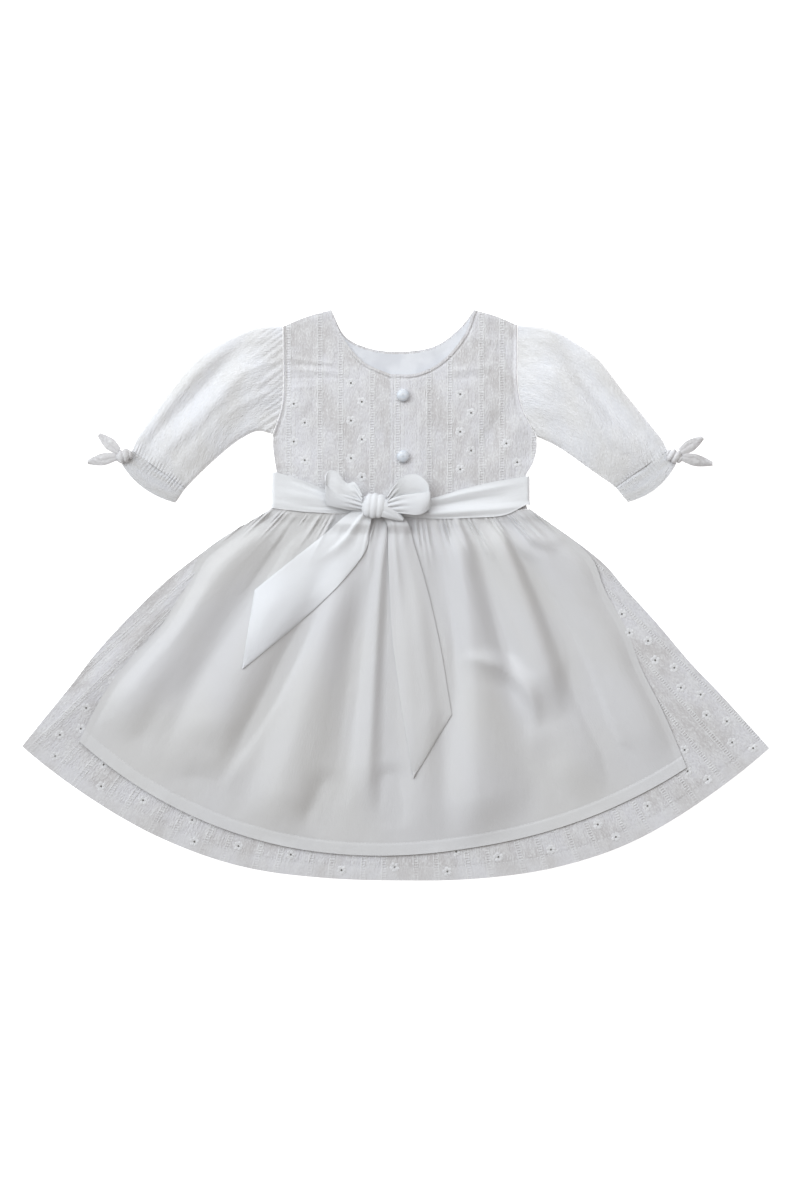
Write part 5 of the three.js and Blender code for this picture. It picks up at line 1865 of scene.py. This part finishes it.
class MakeBodice(Operator):
    """The bodice fronts and back, and the lining inside the neck"""

    bl_idname = "gown.bodice"
    bl_label = "Bodice"

    def execute(self, context):
        across, down = even_grid(116, 180)
        for side, outline in {"left": left_front(), "right": right_front()}.items():
            place = outline(across, down)
            x, y = place[..., 0], place[..., 1]
            uv = flat_uv(x, y, BODICE_ROWS[side][0][0])
            front = cloth(f"bodice_{side}_cloth", on(bodice_top(side))(x, y), uv, "eyelet")
            declare("bodice_front", [f"bodice_front_{side}"])

        across, down = even_grid(70, 70)
        place = back_spot()(across, down)
        x, y = place[..., 0], place[..., 1]
        back = cloth("back_bodice_cloth", on(back_top)(x, y), flat_uv(x, y), "eyelet", thick=WALL)
        declare("back_bodice", ["back_bodice"])
        self.lining()
        return {"FINISHED"}

    def lining(self):
        """The plain lining shows inside the neck and passes under the front."""
        across, down = even_grid(90, 40)
        neck = line(BACK_NECK)(mix(0.03, 0.97, across))
        sag = 0.012 + LINING_DEPTH * np.sin(np.pi * across)
        x = neck[..., 0] * mix(1, 1.12, down)
        y = neck[..., 1] - 0.0025 - sag * down
        rumple = creased(LINING_CREASES, x, y)
        top = WALL + SEAM_GAP + LINING_WALL + rumple * ramp(down, 0, 0.2)
        points = np.stack([x, y, top], axis=-1)
        lining = cloth("neck_lining_cloth", points, flat_uv(x, y), "lining")
        declare("neck_lining", ["neck_lining"])


class MakeSleeves(Operator):
    """The puffed sleeves and their cuffs"""

    bl_idname = "gown.sleeves"
    bl_label = "Sleeves and cuffs"

    def execute(self, context):
        for side, (sleeve, cuff) in SLEEVES.items():
            pieces = {
                "sleeve": (sleeve, sleeve_relief, sleeve_detail, to_armhole(side, sleeve), 96),
                "cuff": (cuff, plain_relief, cuff_detail, bowed(cuff), 22),
            }
            for name, (rows, relief, detail, shift, count) in pieces.items():
                downs = np.linspace(0, 1, count)
                points, uv = tube(rows, relief, detail, shift, (104, 30), downs)
                if side == "right":
                    points, uv = flipped(points, uv)
                piece = cloth(f"{name}_{side}_cloth", points, uv, "sleeve", ring=True)
                declare(name, [f"{name}_{side}"])
        return {"FINISHED"}


class MakeTies(Operator):
    """The knots on the cuffs, and their pointed ends"""

    bl_idname = "gown.ties"
    bl_label = "Cuff ties"

    def execute(self, context):
        for side, (knot_x, knot_y, turn) in CUFF_KNOTS.items():
            points, uv = knot_mesh(**CUFF_KNOT)
            points = self.placed(points, knot_x, knot_y, turn)
            knot = cloth(f"cuff_knot_{side}_cloth", *flipped(points, uv), "eyelet", ring=True)
            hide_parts(f"cuff_knot_{side}")
            for name, (tip_x, tip_y) in CUFF_TIPS[side].items():
                self.end(side, name, (knot_x, knot_y, turn), (tip_x, tip_y), knot)
        return {"FINISHED"}

    def placed(self, points, x, y, turn):
        """Turned about the upright and set on its base."""
        c = math.cos(math.radians(turn))
        s = math.sin(math.radians(turn))
        px, py, pz = points[..., 0], points[..., 1], points[..., 2]
        z = pz - pz.min() + CUFF_KNOT_BASE
        return np.stack([x + px * c - py * s, y + px * s + py * c, z], axis=-1)

    def end(self, side, name, knot, tip, lump):
        """A pointed end: widest a third of the way along, creased lengthwise."""
        knot_x, knot_y, turn = knot
        start = np.array([knot_x, knot_y])
        way = np.array(tip) - start
        way = way / np.linalg.norm(way)
        angle = math.atan2(way[1], way[0]) - math.radians(turn)
        radius = 1 / math.hypot(math.cos(angle) / CUFF_KNOT["long"], math.sin(angle) / CUFF_KNOT["wide"])
        root = start + way * (radius - TIE_ROOT_INSET)
        reach = np.array(tip) - root
        aside = np.array([-reach[1], reach[0]]) / np.linalg.norm(reach)
        across, down = even_grid(26, 50)
        half = TIE_WIDTH * column(TIE_OUTLINE, "along", down, "half")
        place = root + reach * down[..., None] + aside * (half * (1 - 2 * across))[..., None]
        lift = (CUFF_KNOT_BASE + CUFF_KNOT["high"] / 2 - TIE_TALL / 2) * (1 - ramp(down, 0, 1))
        crease = 0.6 + 0.4 * np.sin(np.pi * across)
        fold = -0.0005 * bell(across - 0.42, 0.12) * (1 - ramp(down, 0.5, 0.9))
        z = lift + TIE_TALL * crease + fold
        points = np.concatenate([place, z[..., None]], axis=-1)
        uv = np.stack([half * across * 2, down * TIE_LONG], axis=-1)
        piece = cloth(f"cuff_tie_{name}_{side}_cloth", points, uv, "eyelet", thick=TIE_THICK)
        declare("tie", [f"cuff_tie_{name}_{side}"])


class MakeSash(Operator):
    """The sash round the waist"""

    bl_idname = "gown.sash"
    bl_label = "Sash"

    def execute(self, context):
        across, down = grid(shares((0, 0.16, 16), (0.16, 1, 100)), shares((0, 1, 44)))
        for side in ("left", "right"):
            points = sash_top(side)(across, down)
            uv = np.stack([down * SASH_DEEP, across * SASH_LONG], axis=-1)
            if side == "right":
                points, uv = flipped(points, uv)
            piece = cloth(f"sash_{side}_cloth", points, uv, "ribbon")
            declare(f"sash_{side}", [f"sash_{side}"])

        across, down = even_grid(60, 12)
        inset = SEAM_GAP + 0.0001
        left = mix(SASH_LEFT_TOP["x"][0], SASH_LEFT_BOTTOM["x"][0], down) + inset
        right = mix(SASH_RIGHT_TOP["x"][0], SASH_RIGHT_BOTTOM["x"][0], down) - inset
        high = mix(SASH_LEFT_TOP["y"][0], SASH_RIGHT_TOP["y"][0], across)
        low = mix(SASH_LEFT_BOTTOM["y"][0], SASH_RIGHT_BOTTOM["y"][0], across)
        points = np.stack([mix(left, right, across), mix(high, low, down), WALL + 0 * down], axis=-1)
        uv = np.stack([down * SASH_DEEP, across * BACK_SASH_LONG], axis=-1)
        back = cloth("sash_back_cloth", points, uv, "ribbon", thick=WALL)
        declare("sash_back", ["sash_back"])
        return {"FINISHED"}


class MakeBow(Operator):
    """The bow: its knot, two loops and two tails"""

    bl_idname = "gown.bow"
    bl_label = "Bow"

    def execute(self, context):
        points, uv = knot_mesh(**BOW_KNOT)
        points = points + [KNOT_X, KNOT_Y, KNOT_BASE - points[..., 2].min()]
        knot = cloth("bow_knot_cloth", *flipped(points, uv), "ribbon", ring=True)
        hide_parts("bow_knot")
        self.flap(knot)
        across, down = even_grid(110, 36)
        for side, rows in {"left": LEFT_LOOP, "right": RIGHT_LOOP}.items():
            points = loop_spot(rows)(across, down)
            uv = np.stack([down * RIBBON_WIDE, across * LOOP_LONG], axis=-1)
            loop = cloth(f"bow_loop_{side}_cloth", points, uv, "ribbon", thick=LOOP_THICK)
            declare(f"loop_{side}", [f"bow_loop_{side}"])
        across, down = even_grid(40, 154)
        for side, rows in {"left": LEFT_TAIL, "right": RIGHT_TAIL}.items():
            points = tail_spot(rows, TAIL_CREASES[side])(across, down)
            uv = np.stack([across * RIBBON_WIDE, down * TAIL_LONG], axis=-1)
            # The left tail takes the lit copy of the sateen and the right tail the shaded copy: painted
            # light and painted shade.
            finish = "ribbon" if side == "left" else "sateen"
            tail = cloth(f"sash_tail_{side}_cloth", points, uv, finish)
            declare(f"tail_{side}", [f"sash_tail_{side}"])
        return {"FINISHED"}

    def flap(self, knot):
        """A pointed flap of the knot's own cloth, which turns out over the right tail."""
        across, down = even_grid(24, 30)
        root = np.array(FLAP_ROOT)
        run = np.array(FLAP_RUN)
        aside = np.array([run[1], -run[0]]) / np.linalg.norm(run)
        half = mix(*FLAP_HALF_WIDTHS, down**1.2)
        place = root + run * down[..., None] + aside * (half * (1 - 2 * across))[..., None]
        z = mix(*FLAP_HEIGHTS, down**1.5) - 0.0022 * (2 * across - 1) ** 2
        fold = -0.0007 * bell(across - 0.4, 0.09) * (1 - down)
        points = np.concatenate([place, (z + fold)[..., None]], axis=-1)
        uv = np.stack([across * 0.018, 0.05 + down * 0.023], axis=-1)
        piece = cloth("bow_flap_cloth", *flipped(points, uv), "ribbon")
        declare("flap", ["bow_knot"])


class MakeButtons(Operator):
    """Domed shank buttons on the lap"""

    bl_idname = "gown.buttons"
    bl_label = "Buttons"

    def execute(self, context):
        sides = context.scene.gown_sizes.button_sides
        top = bodice_top("right")
        for name, y in BUTTON_YS.items():
            seat = top(np.array(BUTTON_X), np.array(y)) + BUTTON_CLEAR * 0.3
            turn = np.linspace(0, 2 * np.pi, sides, endpoint=False)
            x = BUTTON_X + np.outer(BUTTON_PROFILE["radius"], np.cos(turn))
            z = np.repeat(BUTTON_PROFILE["height"][:, None], sides, axis=1) + seat
            points = np.stack([x, y + np.outer(BUTTON_PROFILE["radius"], np.sin(turn)), z], axis=-1)
            number = np.arange(points.shape[0] * sides).reshape(-1, sides)
            after = np.roll(number, -1, axis=1)
            faces = np.stack([number[:-1], after[:-1], after[1:], number[1:]], axis=-1).reshape(-1, 4)
            uv = points[..., :2].reshape(-1, 2)[faces].reshape(-1, 2)
            button = dress(stored(f"button_{name}_pearl", points, faces, uv), "pearl")
            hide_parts(f"button_{name}")
        return {"FINISHED"}


class MakeEmbroidery(Operator):
    """Zigzag rows of small eyelet flowers"""

    bl_idname = "gown.embroidery"
    bl_label = "Embroidery"

    def execute(self, context):
        self.on_skirts()
        self.on_bodice()
        return {"FINISHED"}

    def sprinkle(self, name, surface, spots):
        """Flowers, and dark discs painted with the shade in their holes, at places on a surface."""
        sizes = bpy.context.scene.gown_sizes
        turns = np.arange(len(spots)) * FLOWER_TURN
        flower = flower_template(sizes.flower)
        scattered(f"flowers_{name}", flower, surface, spots, turns, "petal")
        # Dark discs with painted shade stand for the holes in the flowers.
        scattered(f"eyelet_shade_discs_{name}", shade_disc_template(sizes.hole), surface, spots, turns, "hole")

    def on_skirts(self):
        """Rows run out from the waist, seen beyond the apron on the front."""
        spots = []
        for band in range(-9, 10):
            for n in range(20):
                aside = FLOWER_ASIDE * (1 if n % 2 else -1)
                across = band * REPEAT + aside
                stagger = FLOWER_STAGGER if band % 2 else 0
                reach = FLOWER_FIRST_REACH + n * FLOWER_STEP / 2 + stagger
                spots.append(from_polar(math.degrees(across / GRAIN_REACH), reach))
        spots = np.array(spots)
        x, y = spots[:, 0], spots[:, 1]
        within = self.between(x, y, SKIRT_EDGES, SKIRT_HEM, 0.008)
        hidden = self.between(x, y, APRON_EDGES, APRON_HEM, 0.003)
        shown = within & ~hidden
        self.sprinkle("skirt", on(skirt_front_top), spots[shown])

    def between(self, x, y, edges, hem, clear):
        """Which spots lie on a skirt panel, clear of its edges."""
        bearing, reach = polar(x, y)
        waist = waist_reach(bearing)
        low = column(hem, "bearing", np.clip(bearing, hem["bearing"][0], hem["bearing"][-1]), "reach")
        down = np.clip((reach - waist) / (low - waist), 0, 1)
        margin = np.degrees(clear / reach)
        left = column(edges, "down", down, "left") + margin
        right = column(edges, "down", down, "right") - margin
        return (reach < low - clear) & (bearing > left) & (bearing < right)

    def on_bodice(self):
        """Rows run down the bodice, staggered on both sides of each middle."""
        for side, middles in BODICE_ROWS.items():
            spots = []
            for middle, start, count in middles:
                for n in range(count):
                    aside = FLOWER_ASIDE * (1 if n % 2 else -1)
                    spots.append((middle + aside, start - n * FLOWER_STEP / 2))
            spots = np.array(spots)
            clear = away(spots[:, 0], spots[:, 1], ARMHOLE_PATHS[side]) > 0.008
            clear &= away(spots[:, 0], spots[:, 1], NECK_PATHS[side]) > 0.006
            self.sprinkle(f"bodice_{side}", on(bodice_top(side)), spots[clear])


class MakeStitching(Operator):
    """Stitches along the hems, the neck and the lap"""

    bl_idname = "gown.stitching"
    bl_label = "Stitching"

    def execute(self, context):
        apron = (APRON_HEM, APRON_HEM_DEPTH, -41.6, 36.4)
        self.hem("apron_hem_stitches", apron, apron_top, "white_thread")
        skirt = (SKIRT_HEM, SKIRT_HEM_DEPTH, -46.0, 45.2)
        self.hem("skirt_hem_stitches", skirt, skirt_front_top, "thread")
        for side, path in NECK_PATHS.items():
            inner = self.inset(path, NECK_RIM + 0.0006, -1)
            stitched(f"neck_stitches_{side}", on(bodice_top(side)), inner)
        for n, x in enumerate((LAP_EDGE_X + 0.0022, LAP_EDGE_X + LAP_WIDTH - 0.001)):
            path = np.stack([np.full(60, x), np.linspace(0.196, 0.09, 60)], axis=-1)
            stitched(f"lap_stitches_{n + 1}", on(bodice_top("right")), path)
        return {"FINISHED"}

    def hem(self, name, edge, top, finish):
        """Stitches along a hem. Its edge is the table of the hem, how deep the hem is, and the
        first and last bearing."""
        hem, depth, first, last = edge
        bearing = mix(first, last, np.linspace(0.012, 0.988, 160))
        reach = column(hem, "bearing", bearing, "reach") - depth - STITCH_INSET
        path = np.stack(from_polar(bearing, reach), axis=-1)
        stitched(name, on(top), path, finish)

    def inset(self, path, distance, side):
        """A line beside another."""
        way = np.gradient(path, axis=0)
        way /= np.linalg.norm(way, axis=1, keepdims=True)
        return path + side * distance * np.stack([-way[:, 1], way[:, 0]], axis=-1)


OPERATORS = [
    BuildStage,
    MakeSkirts,
    MakeApron,
    MakeBodice,
    MakeSleeves,
    MakeTies,
    MakeSash,
    MakeBow,
    MakeButtons,
    MakeEmbroidery,
    MakeStitching,
]


class GownPanel(Panel):
    """Lists the pieces of the gown and its sizes"""

    bl_idname = "VIEW3D_PT_gown"
    bl_label = "Christening gown"
    bl_space_type = "VIEW_3D"
    bl_region_type = "UI"
    bl_category = "Gown"

    def draw(self, context):
        for group in (context.scene.gown_sizes, context.scene.gown_colours):
            for name in group.__annotations__:
                self.layout.prop(group, name)
        for operator in OPERATORS:
            self.layout.operator(operator.bl_idname)


def register():
    """Makes the gown's classes known to Blender."""
    for made in (GownSizes, GownColours, *OPERATORS, GownPanel):
        bpy.utils.register_class(made)
    bpy.types.Scene.gown_sizes = PointerProperty(type=GownSizes)
    bpy.types.Scene.gown_colours = PointerProperty(type=GownColours)


def unregister():
    """Takes them away again."""
    del bpy.types.Scene.gown_sizes
    del bpy.types.Scene.gown_colours
    for made in (GownPanel, *reversed(OPERATORS), GownColours, GownSizes):
        bpy.utils.unregister_class(made)


def main():
    """Makes the whole gown."""
    register()
    for operator in OPERATORS:
        group, name = operator.bl_idname.split(".")
        getattr(getattr(bpy.ops, group), name)()


if __name__ == "__main__":
    main()
